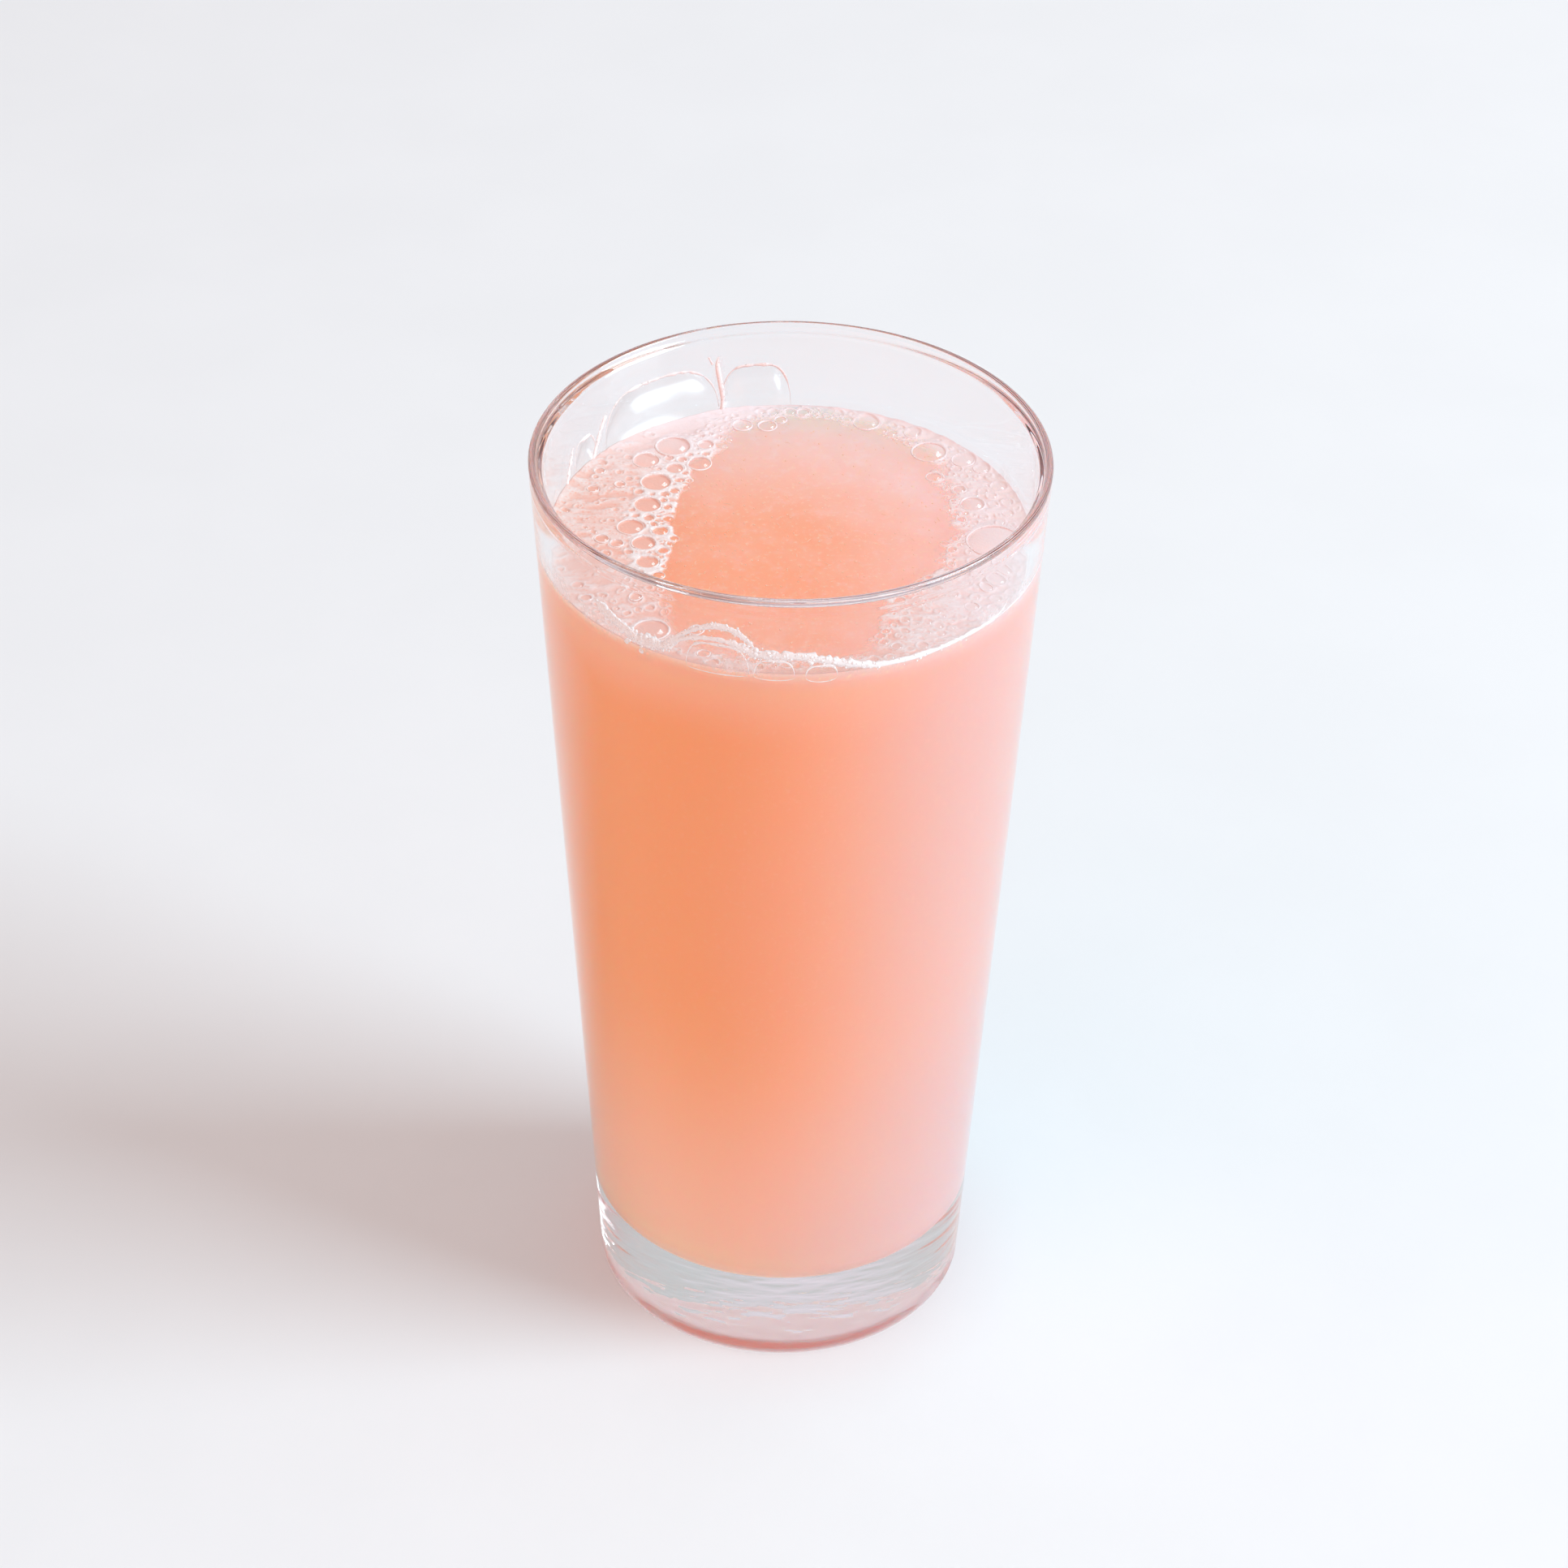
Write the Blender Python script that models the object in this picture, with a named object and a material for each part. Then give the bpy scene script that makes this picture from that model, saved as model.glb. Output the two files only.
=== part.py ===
"""Pink lemonade in its tumbler.

Three solids: a conical glass with a thick base, the drink that fills it, and
the ring of froth that floats round the wall with its bubbles standing up.
Metres, +Z up. The origin is the middle of the glass's foot, where it stands.
Bearings run from +X towards +Y.
"""

import math
import random

import bmesh
import bpy

# Glass
HEIGHT = 0.150
RIM_RADIUS = 0.0379
FOOT_CONE_RADIUS = 0.0286
RIM_WALL = 0.0019
LOW_WALL = 0.0025
BASE_THICKNESS = 0.016
LIP_RADIUS = 0.00055
LIP_TAPER = 0.0013
LIP_TAPER_STEPS = 4
HEEL_RADIUS = 0.0024
INNER_CORNER_RADIUS = 0.0030
FLOOR_DISH = 0.0006
GLASS_STEPS = 96

# Drink
DRINK_LEVEL = 0.136
DRINK_STEPS = 72
GAP = 0.0003

# Froth: the ring, and the open middle that it leaves
FROTH_STEPS = 72
FROTH_SHARES = (0.0, 0.25, 0.5, 0.75, 1.0)
FROTH_HEIGHT = 0.0011
FROTH_SWELL = 0.0006
FROTH_EDGE_HEIGHT = 0.0004
FROTH_UNDERCUT = 0.0002
OPEN_RADIUS = 0.0262
OPEN_SHIFT = 0.0032
OPEN_OVAL = 0.0060
OPEN_LIMIT = 0.0325
TONGUE_BEARING = 125.0
TONGUE_SPREAD = 22.0
TONGUE_DEPTH = 0.0040

# Bubbles: height as a share of width, and the small ones' drawn places
STANDING_RISE = 0.45
SMALL_RISE = 0.65
SMALL_BUBBLES = 34
SMALL_BUBBLE_SIZES = (0.0017, 0.0032)
SMALL_BUBBLE_TRIES = 60
BUBBLE_SPACING = 0.0002
FROTH_SEED = 11

# Each standing bubble: bearing in degrees, distance from the axis, width.
STANDING_BUBBLES = (
    (127.0, 0.0293, 0.0052),
    (138.0, 0.0290, 0.0040),
    (126.0, 0.0232, 0.0036),
    (146.0, 0.0240, 0.0046),
    (161.0, 0.0222, 0.0041),
    (177.0, 0.0233, 0.0040),
    (188.0, 0.0214, 0.0036),
    (201.0, 0.0220, 0.0034),
    (104.0, 0.0306, 0.0030),
    (97.0, 0.0298, 0.0028),
    (70.0, 0.0330, 0.0040),
    (48.0, 0.0308, 0.0052),
    (39.0, 0.0330, 0.0034),
    (18.0, 0.0282, 0.0036),
    (-2.0, 0.0297, 0.0080),
    (-82.0, 0.0325, 0.0050),
    (-93.0, 0.0325, 0.0052),
    (-106.0, 0.0318, 0.0078),
    (-128.0, 0.0310, 0.0050),
)

# Each film that stands against the wall: bearing, half its length along the
# wall, how far it reaches in, and its height above the drink.
WALL_FILMS = (
    (125.0, 0.0104, 0.0036, 0.0080),
    (99.0, 0.0046, 0.0042, 0.0072),
    (149.0, 0.0030, 0.0034, 0.0046),
    (46.0, 0.0030, 0.0040, 0.0052),
    (57.0, 0.0023, 0.0032, 0.0036),
    (33.0, 0.0022, 0.0030, 0.0030),
)


def clear_scene():
    """Remove every object, so that the model starts from nothing."""
    for item in list(bpy.data.objects):
        bpy.data.objects.remove(item, do_unlink=True)


def make_material(name, colour, roughness, transmission=0.0, ior=1.45):
    """Return a Principled material of one plain finish."""
    material = bpy.data.materials.new(name)
    material.use_nodes = True
    shader = material.node_tree.nodes["Principled BSDF"]
    shader.inputs["Base Color"].default_value = (*colour, 1.0)
    shader.inputs["Roughness"].default_value = roughness
    shader.inputs["Metallic"].default_value = 0.0
    shader.inputs["Transmission Weight"].default_value = transmission
    shader.inputs["IOR"].default_value = ior
    return material


def outer_radius(height):
    """Radius of the glass's straight outer cone at a height."""
    return FOOT_CONE_RADIUS + (RIM_RADIUS - FOOT_CONE_RADIUS) * height / HEIGHT


def wall_thickness(height):
    """Wall thickness at a height: the wall thins evenly towards the rim."""
    return LOW_WALL + (RIM_WALL - LOW_WALL) * height / HEIGHT


def inner_radius(height):
    """Radius of the glass's inner cone at a height."""
    return outer_radius(height) - wall_thickness(height)


def arc(centre, radius, start, end, steps):
    """Points (radius, height) on an arc, angles in degrees."""
    points = []
    for i in range(steps + 1):
        angle = math.radians(start + (end - start) * i / steps)
        points.append((centre[0] + radius * math.cos(angle),
                       centre[1] + radius * math.sin(angle)))
    return points


def floor_profile(radius, height, dish, steps):
    """Points from the axis out along a floor that dips by dish at the axis."""
    points = []
    for i in range(steps):
        share = i / steps
        points.append((radius * share, height - dish * (1.0 - share * share)))
    return points


def turn(name, profile, steps, material):
    """Turn a profile (radius, height) round Z into a closed solid.

    The profile starts and ends on the axis and runs down its outer side.
    """
    mesh = bpy.data.meshes.new(name)
    vertices = [(radius, 0.0, height) for radius, height in profile]
    edges = [(i, i + 1) for i in range(len(vertices) - 1)]
    mesh.from_pydata(vertices, edges, [])
    solid = bpy.data.objects.new(name, mesh)
    bpy.context.collection.objects.link(solid)
    solid.data.materials.append(material)
    screw = solid.modifiers.new("Turn", "SCREW")
    screw.axis = "Z"
    screw.steps = steps
    screw.render_steps = steps
    screw.use_merge_vertices = True
    screw.merge_threshold = 0.00001
    screw.use_smooth_shade = True
    return solid


def lip_taper_profile(lip_height):
    """Points up the inside of the lip, where the wall thins in a soft curve.

    At share s of the way up, the wall has lost 3s^2 - 2s^3 of what it is
    thicker than the round lip.
    """
    points = []
    for i in range(LIP_TAPER_STEPS):
        share = i / LIP_TAPER_STEPS
        height = lip_height - LIP_TAPER * (1.0 - share)
        spare = wall_thickness(height) - 2.0 * LIP_RADIUS
        loss = spare * share * share * (3.0 - 2.0 * share)
        points.append((inner_radius(height) + loss, height))
    return points


def build_glass(material):
    """The tumbler: solid base, straight cone, rounded heel and melted lip."""
    lip_height = HEIGHT - LIP_RADIUS
    lip_centre = (outer_radius(lip_height) - LIP_RADIUS, lip_height)
    corner_height = BASE_THICKNESS + INNER_CORNER_RADIUS
    corner_centre = (inner_radius(corner_height) - INNER_CORNER_RADIUS, corner_height)
    heel_centre = (outer_radius(HEEL_RADIUS) - HEEL_RADIUS, HEEL_RADIUS)
    profile = floor_profile(corner_centre[0], BASE_THICKNESS, FLOOR_DISH, 3)
    profile += arc(corner_centre, INNER_CORNER_RADIUS, -90.0, 0.0, 5)
    profile += lip_taper_profile(lip_height)
    profile += arc(lip_centre, LIP_RADIUS, 180.0, 0.0, 8)
    profile += arc(heel_centre, HEEL_RADIUS, 0.0, -90.0, 5)
    profile.append((0.0, 0.0))
    return turn("glass", profile, GLASS_STEPS, material)


def build_drink(material):
    """The drink, a gap clear of the glass all round, with a level top."""
    corner_height = BASE_THICKNESS + INNER_CORNER_RADIUS
    corner_radius = INNER_CORNER_RADIUS - GAP
    corner_centre = (inner_radius(corner_height) - INNER_CORNER_RADIUS, corner_height)
    underside = floor_profile(corner_centre[0], BASE_THICKNESS + GAP, FLOOR_DISH, 3)
    profile = [(0.0, DRINK_LEVEL), (inner_radius(DRINK_LEVEL) - GAP, DRINK_LEVEL)]
    profile += arc(corner_centre, corner_radius, 0.0, -90.0, 5)
    profile += reversed(underside)
    return turn("drink", profile, DRINK_STEPS, material)


def froth_inner_edge(bearing):
    """Distance from the axis of the froth's inner edge at a bearing.

    The open middle is an oval, wider from front to back than from side to
    side, shifted to +X, with one deeper tongue of froth at the back left.
    """
    away = (math.degrees(bearing) % 360.0 - TONGUE_BEARING) / TONGUE_SPREAD
    tongue = TONGUE_DEPTH * math.exp(-away ** 2)
    ripple = 0.0006 * math.sin(9.0 * bearing) + 0.0004 * math.sin(17.0 * bearing + 1.0)
    oval = OPEN_SHIFT * math.cos(bearing) - OPEN_OVAL * math.cos(2.0 * bearing)
    return min(OPEN_RADIUS + oval - tongue + ripple, OPEN_LIMIT)


def froth_top(bearing, share):
    """Height of the froth's top above its underside.

    It is thin at the inner edge, where share is 0, swells in the middle and
    keeps its full height at the wall, where share is 1.
    """
    rise = math.sin(min(share * 1.6, 1.0) * math.pi / 2.0)
    swell = FROTH_SWELL * math.sin(5.0 * bearing + 4.0 * share) * math.sin(math.pi * share)
    return FROTH_EDGE_HEIGHT + (FROTH_HEIGHT - FROTH_EDGE_HEIGHT) * rise + swell


def build_froth_sheet(material):
    """The ring of small froth that the larger bubbles stand in."""
    underside = DRINK_LEVEL + GAP
    mesh = bmesh.new()
    rings = []
    for i in range(FROTH_STEPS):
        bearing = 2.0 * math.pi * i / FROTH_STEPS
        inner = froth_inner_edge(bearing)
        outer = inner_radius(underside) - GAP
        section = [(outer, underside), (inner + FROTH_UNDERCUT, underside)]
        for share in FROTH_SHARES:
            radius = inner + (outer - inner) * share
            section.append((radius, underside + froth_top(bearing, share)))
        ring = []
        for radius, height in section:
            place = (radius * math.cos(bearing), radius * math.sin(bearing), height)
            ring.append(mesh.verts.new(place))
        rings.append(ring)
    for i, ring in enumerate(rings):
        following = rings[(i + 1) % len(rings)]
        for j in range(len(ring)):
            k = (j + 1) % len(ring)
            mesh.faces.new((ring[j], following[j], following[k], ring[k]))
    bmesh.ops.recalc_face_normals(mesh, faces=mesh.faces)
    return finish_mesh("froth", mesh, material)


def finish_mesh(name, mesh, material):
    """Put a bmesh into a new object with its material."""
    data = bpy.data.meshes.new(name)
    mesh.to_mesh(data)
    mesh.free()
    solid = bpy.data.objects.new(name, data)
    bpy.context.collection.objects.link(solid)
    data.materials.append(material)
    return solid


def build_dome(name, bearing, distance, axes, floor, sides, rings, material):
    """Half of an ellipsoid standing on its flat side.

    axes are its half length along the wall, half width towards the axis and
    height, and floor is the height of its flat side.
    """
    along, inward, height = axes
    radial = (math.cos(bearing), math.sin(bearing))
    tangent = (-radial[1], radial[0])
    mesh = bmesh.new()
    levels = []
    for j in range(rings):
        climb = 0.5 * math.pi * j / rings
        level = []
        for i in range(sides):
            turn_angle = 2.0 * math.pi * i / sides
            u = along * math.cos(climb) * math.cos(turn_angle)
            v = inward * math.cos(climb) * math.sin(turn_angle)
            x = radial[0] * (distance - v) + tangent[0] * u
            y = radial[1] * (distance - v) + tangent[1] * u
            level.append(mesh.verts.new((x, y, floor + height * math.sin(climb))))
        levels.append(level)
    pole = mesh.verts.new((radial[0] * distance, radial[1] * distance, floor + height))
    mesh.faces.new(levels[0])
    for lower, upper in zip(levels, levels[1:]):
        for i in range(sides):
            k = (i + 1) % sides
            mesh.faces.new((lower[i], lower[k], upper[k], upper[i]))
    for i in range(sides):
        mesh.faces.new((levels[-1][i], levels[-1][(i + 1) % sides], pole))
    bmesh.ops.recalc_face_normals(mesh, faces=mesh.faces)
    return finish_mesh(name, mesh, material)


def small_bubble_places():
    """Bearing, distance and width of the small bubbles.

    The largest are placed first, each at a drawn place in the ring of froth
    where it stays clear of those already standing.
    """
    draw = random.Random(FROTH_SEED)
    placed = [(d * math.cos(math.radians(b)), d * math.sin(math.radians(b)), w / 2.0)
              for b, d, w in STANDING_BUBBLES]
    small, large = SMALL_BUBBLE_SIZES
    places = []
    for i in range(SMALL_BUBBLES):
        width = large + (small - large) * i / (SMALL_BUBBLES - 1)
        for _ in range(SMALL_BUBBLE_TRIES):
            bearing = draw.uniform(0.0, 2.0 * math.pi)
            low = froth_inner_edge(bearing) + 0.5 * width
            high = inner_radius(DRINK_LEVEL) - 0.5 * width - 3.0 * GAP
            if low > high:
                continue
            distance = draw.uniform(low, high)
            x, y = distance * math.cos(bearing), distance * math.sin(bearing)
            clear = all(math.hypot(x - a, y - b) > 0.5 * width + r + BUBBLE_SPACING
                        for a, b, r in placed)
            if clear:
                placed.append((x, y, 0.5 * width))
                places.append((bearing, distance, width))
                break
    return places


def build_bubbles(material):
    """All the bubbles and films, as separate domes standing in the froth."""
    domes = []
    floor = DRINK_LEVEL + GAP + 0.4 * FROTH_EDGE_HEIGHT
    for i, (degrees, distance, width) in enumerate(STANDING_BUBBLES):
        axes = (0.5 * width, 0.5 * width, STANDING_RISE * width)
        domes.append(build_dome(f"bubble_{i}", math.radians(degrees), distance, axes,
                                floor, 12, 4, material))
    for i, (bearing, distance, width) in enumerate(small_bubble_places()):
        axes = (0.5 * width, 0.5 * width, SMALL_RISE * width)
        domes.append(build_dome(f"small_bubble_{i}", bearing, distance, axes,
                                floor, 8, 3, material))
    for i, (degrees, half_length, reach, height) in enumerate(WALL_FILMS):
        distance = inner_radius(DRINK_LEVEL + 0.4 * height) - GAP
        domes.append(build_dome(f"wall_film_{i}", math.radians(degrees), distance,
                                (half_length, reach, height), floor, 20, 6, material))
    return domes


def build_cavity(material):
    """The room inside the glass that the froth may take, as a cutter."""
    low = DRINK_LEVEL + 0.5 * GAP
    profile = [(0.0, HEIGHT), (inner_radius(HEIGHT) - GAP, HEIGHT),
               (inner_radius(low) - GAP, low), (0.0, low)]
    return turn("cavity", profile, FROTH_STEPS, material)


def apply_modifiers(solid):
    """Replace an object's mesh by its evaluated one."""
    graph = bpy.context.evaluated_depsgraph_get()
    baked = bpy.data.meshes.new_from_object(solid.evaluated_get(graph))
    solid.modifiers.clear()
    solid.data = baked


def build_froth(material):
    """The froth ring with its bubbles fused on, kept inside the glass."""
    froth = build_froth_sheet(material)
    domes = build_bubbles(material)
    cavity = build_cavity(material)
    group = bpy.data.collections.new("froth_bubbles")
    bpy.context.scene.collection.children.link(group)
    for dome in domes:
        group.objects.link(dome)
    union = froth.modifiers.new("Fuse", "BOOLEAN")
    union.operation = "UNION"
    union.operand_type = "COLLECTION"
    union.collection = group
    apply_modifiers(froth)
    trim = froth.modifiers.new("Trim", "BOOLEAN")
    trim.operation = "INTERSECT"
    trim.object = cavity
    apply_modifiers(froth)
    for item in domes + [cavity]:
        bpy.data.objects.remove(item, do_unlink=True)
    bpy.data.collections.remove(group)
    clean_mesh(froth)
    return froth


def clean_mesh(solid):
    """Merge the doubles that cutting leaves, and shade the solid smooth."""
    mesh = bmesh.new()
    mesh.from_mesh(solid.data)
    bmesh.ops.remove_doubles(mesh, verts=mesh.verts, dist=0.000002)
    bmesh.ops.dissolve_degenerate(mesh, edges=mesh.edges, dist=0.000002)
    mesh.to_mesh(solid.data)
    mesh.free()
    solid.data.shade_smooth()
    solid.data.set_sharp_from_angle(angle=math.radians(35.0))


def main():
    """Build the three solids."""
    clear_scene()
    glass_finish = make_material("clear_glass", (0.97, 0.98, 0.98), 0.02, 1.0, 1.52)
    drink_finish = make_material("lemonade", (0.93, 0.38, 0.25), 0.15, 0.0, 1.34)
    froth_finish = make_material("froth", (0.87, 0.68, 0.66), 0.25, 0.0, 1.33)
    build_glass(glass_finish)
    build_drink(drink_finish)
    build_froth(froth_finish)


main()
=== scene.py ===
"""Pink lemonade in its tumbler: the looks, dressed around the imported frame.

The glass, the drink and the froth are replaced by fine surfaces worked out
with numpy. Metres, +Z up. Bearings run from +X towards +Y, and the camera
stands at -Y. A surface is a function of two parameters on a grid, or a
profile carried along a path, and each function gives its formula in words.
"""

import logging
import math
import random
from dataclasses import dataclass, field
from enum import Enum
from typing import NamedTuple, Optional, Sequence, Union

import bpy
import numpy as np
from mathutils import Matrix, Vector


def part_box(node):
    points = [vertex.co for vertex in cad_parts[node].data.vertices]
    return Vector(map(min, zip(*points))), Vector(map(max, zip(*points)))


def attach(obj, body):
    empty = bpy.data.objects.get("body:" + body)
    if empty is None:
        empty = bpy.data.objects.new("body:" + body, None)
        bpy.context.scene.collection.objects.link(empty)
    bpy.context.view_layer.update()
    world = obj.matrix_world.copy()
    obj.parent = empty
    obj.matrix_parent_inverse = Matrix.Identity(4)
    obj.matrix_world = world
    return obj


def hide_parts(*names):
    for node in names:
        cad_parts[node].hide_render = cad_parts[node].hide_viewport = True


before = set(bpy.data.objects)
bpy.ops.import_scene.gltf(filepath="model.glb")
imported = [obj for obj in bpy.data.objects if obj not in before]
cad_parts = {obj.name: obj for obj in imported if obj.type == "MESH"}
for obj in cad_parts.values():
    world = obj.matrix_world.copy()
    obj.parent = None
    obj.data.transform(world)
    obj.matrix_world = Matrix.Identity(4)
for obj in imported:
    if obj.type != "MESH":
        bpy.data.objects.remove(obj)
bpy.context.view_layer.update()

Array = np.ndarray
Colour = tuple[float, float, float]
Item = bpy.types.Object
Material = bpy.types.Material
Node = bpy.types.Node
Socket = bpy.types.NodeSocket
Value = Union[float, Sequence[float], Socket]
Feeds = dict[Union[str, int], Value]
LOG = logging.getLogger("lemonade")

BODY = "root"
MM = 0.001
FOAM_FIELD = "foam"
SKIN_FIELD = "skin"


class Slot(Enum):
    """The record's material slots."""

    GLASS = "clear_glass"
    DRINK = "lemonade"
    FROTH = "froth"


def smooth_step(low: float, high: float, value: Array) -> Array:
    """Ease a value from 0 at low to 1 at high.

    The share t of the way is held between 0 and 1 and becomes 3t^2 - 2t^3.

    Args:
        low: Where the result is 0.
        high: Where the result is 1.
        value: The values to ease.

    Returns:
        The eased values.
    """
    share = np.clip((value - low) / (high - low), 0.0, 1.0)
    return share * share * (3.0 - 2.0 * share)


def full_turn(places: int) -> Array:
    """Bearings in radians, evenly round a full turn."""
    return np.linspace(0.0, 2.0 * np.pi, places, endpoint=False)


def lobe(bearing: Array, centre: float, half_width: float, soft: float) -> Array:
    """Mark a stretch of bearings with 1, fading to 0 at both ends.

    The angle away from the centre is wrapped to half a turn, and the mark
    falls off over the soft angle at the stretch's ends.

    Args:
        bearing: Bearings in degrees.
        centre: Middle of the stretch in degrees.
        half_width: Half of the stretch in degrees.
        soft: Angle over which the mark fades, in degrees.

    Returns:
        The mark for each bearing.
    """
    away = np.abs((bearing - centre + 180.0) % 360.0 - 180.0)
    return 1.0 - smooth_step(half_width, half_width + soft, away)


def lattice_draws(i: Array, j: Array, seed: int) -> Array:
    """Draw a fixed number from 0 to 1 for each cell of an endless lattice.

    The cell numbers are folded into a seeded table of 64 by 64 draws.

    Args:
        i: Cell numbers along the first way.
        j: Cell numbers along the second way.
        seed: Seed of the table.

    Returns:
        The draw of each cell.
    """
    table = np.random.default_rng(seed).random((64, 64))
    return table[i % 64, j % 64]


def value_noise(x: Array, y: Array, cell: float, seed: int) -> Array:
    """Blend lattice draws into soft noise from 0 to 1.

    Each point takes the four draws at its cell's corners, weighted by its
    eased place in the cell.

    Args:
        x: First coordinates.
        y: Second coordinates.
        cell: Width of a cell.
        seed: Seed of the lattice.

    Returns:
        The noise at each point.
    """
    i, j = np.floor(x / cell).astype(int), np.floor(y / cell).astype(int)
    u = smooth_step(0.0, 1.0, x / cell - i)
    v = smooth_step(0.0, 1.0, y / cell - j)
    near = lattice_draws(i, j, seed) * (1 - u) + lattice_draws(i + 1, j, seed) * u
    far = lattice_draws(i, j + 1, seed) * (1 - u) + lattice_draws(i + 1, j + 1, seed) * u
    return near * (1 - v) + far * v


def layered_noise(x: Array, y: Array, cell: float, seed: int) -> Array:
    """Add three layers of value noise, each half as wide and half as strong.

    Args:
        x: First coordinates.
        y: Second coordinates.
        cell: Width of the widest layer's cells.
        seed: Seed of the widest layer.

    Returns:
        The noise at each point, from 0 to 1.
    """
    total = sum(value_noise(x, y, cell / 2 ** k, seed + k) / 2 ** k for k in range(3))
    return total / 1.75


@dataclass
class Surface:
    """A mesh as whole arrays, before it becomes an object."""

    points: Array
    quads: Array
    triangles: Array
    fields: dict[str, Array] = field(default_factory=dict)

    @staticmethod
    def from_rings(rings: Array, first_pole: Optional[Array] = None,
                   last_pole: Optional[Array] = None, looped: bool = False) -> "Surface":
        """Join closed rings of points into a tube.

        Point j of ring i is joined to point j + 1 and to the same two points
        of ring i + 1. A pole closes an end with a fan of triangles.

        Args:
            rings: Points, as rings by places by 3.
            first_pole: Point that closes the first ring.
            last_pole: Point that closes the last ring.
            looped: True where the last ring meets the first.

        Returns:
            The surface.
        """
        count, places = rings.shape[:2]
        index = np.arange(count * places).reshape(count, places)
        lower = index if looped else index[:-1]
        upper = np.roll(index, -1, axis=0) if looped else index[1:]
        quads = np.stack([lower, np.roll(lower, -1, axis=1),
                          np.roll(upper, -1, axis=1), upper], axis=-1).reshape(-1, 4)
        points = [rings.reshape(-1, 3)]
        fans = []
        total = count * places
        for pole, ring, order in ((first_pole, index[0], -1), (last_pole, index[-1], 1)):
            if pole is not None:
                pair = [ring, np.roll(ring, -1)][::order]
                fans.append(np.stack([*pair, np.full(places, total)], axis=-1))
                points.append(np.reshape(pole, (1, 3)))
                total += 1
        triangles = np.concatenate(fans) if fans else np.empty((0, 3), int)
        return Surface(np.concatenate(points), quads, triangles)

    @staticmethod
    def closed_tube(rings: Array) -> "Surface":
        """Join rings into a tube whose end rings shrink to their middles."""
        return Surface.from_rings(rings[1:-1], rings[0].mean(axis=0),
                                  rings[-1].mean(axis=0)).facing_out()

    @staticmethod
    def merged(parts: Sequence["Surface"]) -> "Surface":
        """Put several surfaces into one mesh, with their fields.

        Args:
            parts: The surfaces, all with the same fields.

        Returns:
            The one surface.
        """
        starts = np.cumsum([0] + [len(p.points) for p in parts[:-1]])
        names = parts[0].fields
        return Surface(np.concatenate([p.points for p in parts]),
                       np.concatenate([p.quads + s for p, s in zip(parts, starts)]),
                       np.concatenate([p.triangles + s for p, s in zip(parts, starts)]),
                       {n: np.concatenate([p.fields[n] for p in parts]) for n in names})

    def repeated(self, frames: Array, centres: Array) -> "Surface":
        """Copy the surface to many places.

        Each copy's point is its place in the pattern times the copy's three
        axis vectors, plus the copy's centre.

        Args:
            frames: Axis vectors of each copy, as copies by 3 by 3.
            centres: Centre of each copy, as copies by 3.

        Returns:
            One surface with all the copies.
        """
        copies, size = len(centres), len(self.points)
        points = np.einsum("pk,ckj->cpj", self.points, frames) + centres[:, None, :]
        shift = (np.arange(copies) * size)[:, None, None]
        return Surface(points.reshape(-1, 3), (self.quads[None] + shift).reshape(-1, 4),
                       (self.triangles[None] + shift).reshape(-1, 3))

    def facing_out(self) -> "Surface":
        """Turn the faces over if they enclose a negative volume.

        The volume is the sum over triangles of the corners' triple product.

        Returns:
            The surface itself.
        """
        corners = np.concatenate([self.triangles, self.quads[:, [0, 1, 2]],
                                  self.quads[:, [0, 2, 3]]])
        a, b, c = (self.points[corners[:, k]] for k in range(3))
        if np.einsum("ij,ij->", a, np.cross(b, c)) < 0.0:
            self.quads = self.quads[:, ::-1]
            self.triangles = self.triangles[:, ::-1]
        return self

    def with_field(self, name: str, values: Union[float, Array]) -> "Surface":
        """Give each point a value that a material can read.

        Args:
            name: Name of the field.
            values: One value for all points, or one for each.

        Returns:
            The surface itself.
        """
        self.fields[name] = np.broadcast_to(np.asarray(values, float),
                                            (len(self.points),)).copy()
        return self

    def to_object(self, name: str, material: Material) -> Item:
        """Make a smooth-shaded object at the origin from the arrays.

        Args:
            name: Name of the piece.
            material: Its finish.

        Returns:
            The linked object.
        """
        mesh = bpy.data.meshes.new(name)
        mesh.from_pydata(self.points.tolist(), [],
                         self.quads.tolist() + self.triangles.tolist())
        mesh.shade_smooth()
        for key, values in self.fields.items():
            layer = mesh.attributes.new(key, "FLOAT", "POINT")
            layer.data.foreach_set("value", values.astype(np.float32))
        mesh.materials.append(material)
        mesh.update()
        item = bpy.data.objects.new(name, mesh)
        bpy.context.scene.collection.objects.link(item)
        return item


def polar(radius: Array, bearing: Array, height: Value) -> Array:
    """Points (r cos b, r sin b, z) from radii, bearings in radians and heights."""
    return np.stack(np.broadcast_arrays(radius * np.cos(bearing), radius * np.sin(bearing),
                                        height), axis=-1)


def place_piece(surface: Surface, name: str, material: Material,
                replaces: Optional[str] = None) -> None:
    """Make a piece, tie it to its body and hide the node it stands for.

    Args:
        surface: The piece's surface.
        name: Name of the piece.
        material: Its finish.
        replaces: The node that it stands for, if any.
    """
    item = surface.to_object(name, material)
    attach(item, BODY)
    if replaces:
        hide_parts(replaces)
    LOG.info("%s: %d points", item.name, len(item.data.vertices))


def arc_points(centre: tuple[float, float], radius: float, start: float, end: float,
               steps: int) -> Array:
    """Points on an arc: the centre plus the radius times (cos a, sin a).

    Args:
        centre: Radius and height of its centre.
        radius: Its own radius.
        start: Angle of its first point in degrees.
        end: Angle of its last point in degrees.
        steps: Steps between them.

    Returns:
        Radii and heights, as points by 2.
    """
    angles = np.radians(np.linspace(start, end, steps + 1))
    return np.stack([centre[0] + radius * np.cos(angles),
                     centre[1] + radius * np.sin(angles)], axis=-1)


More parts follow.
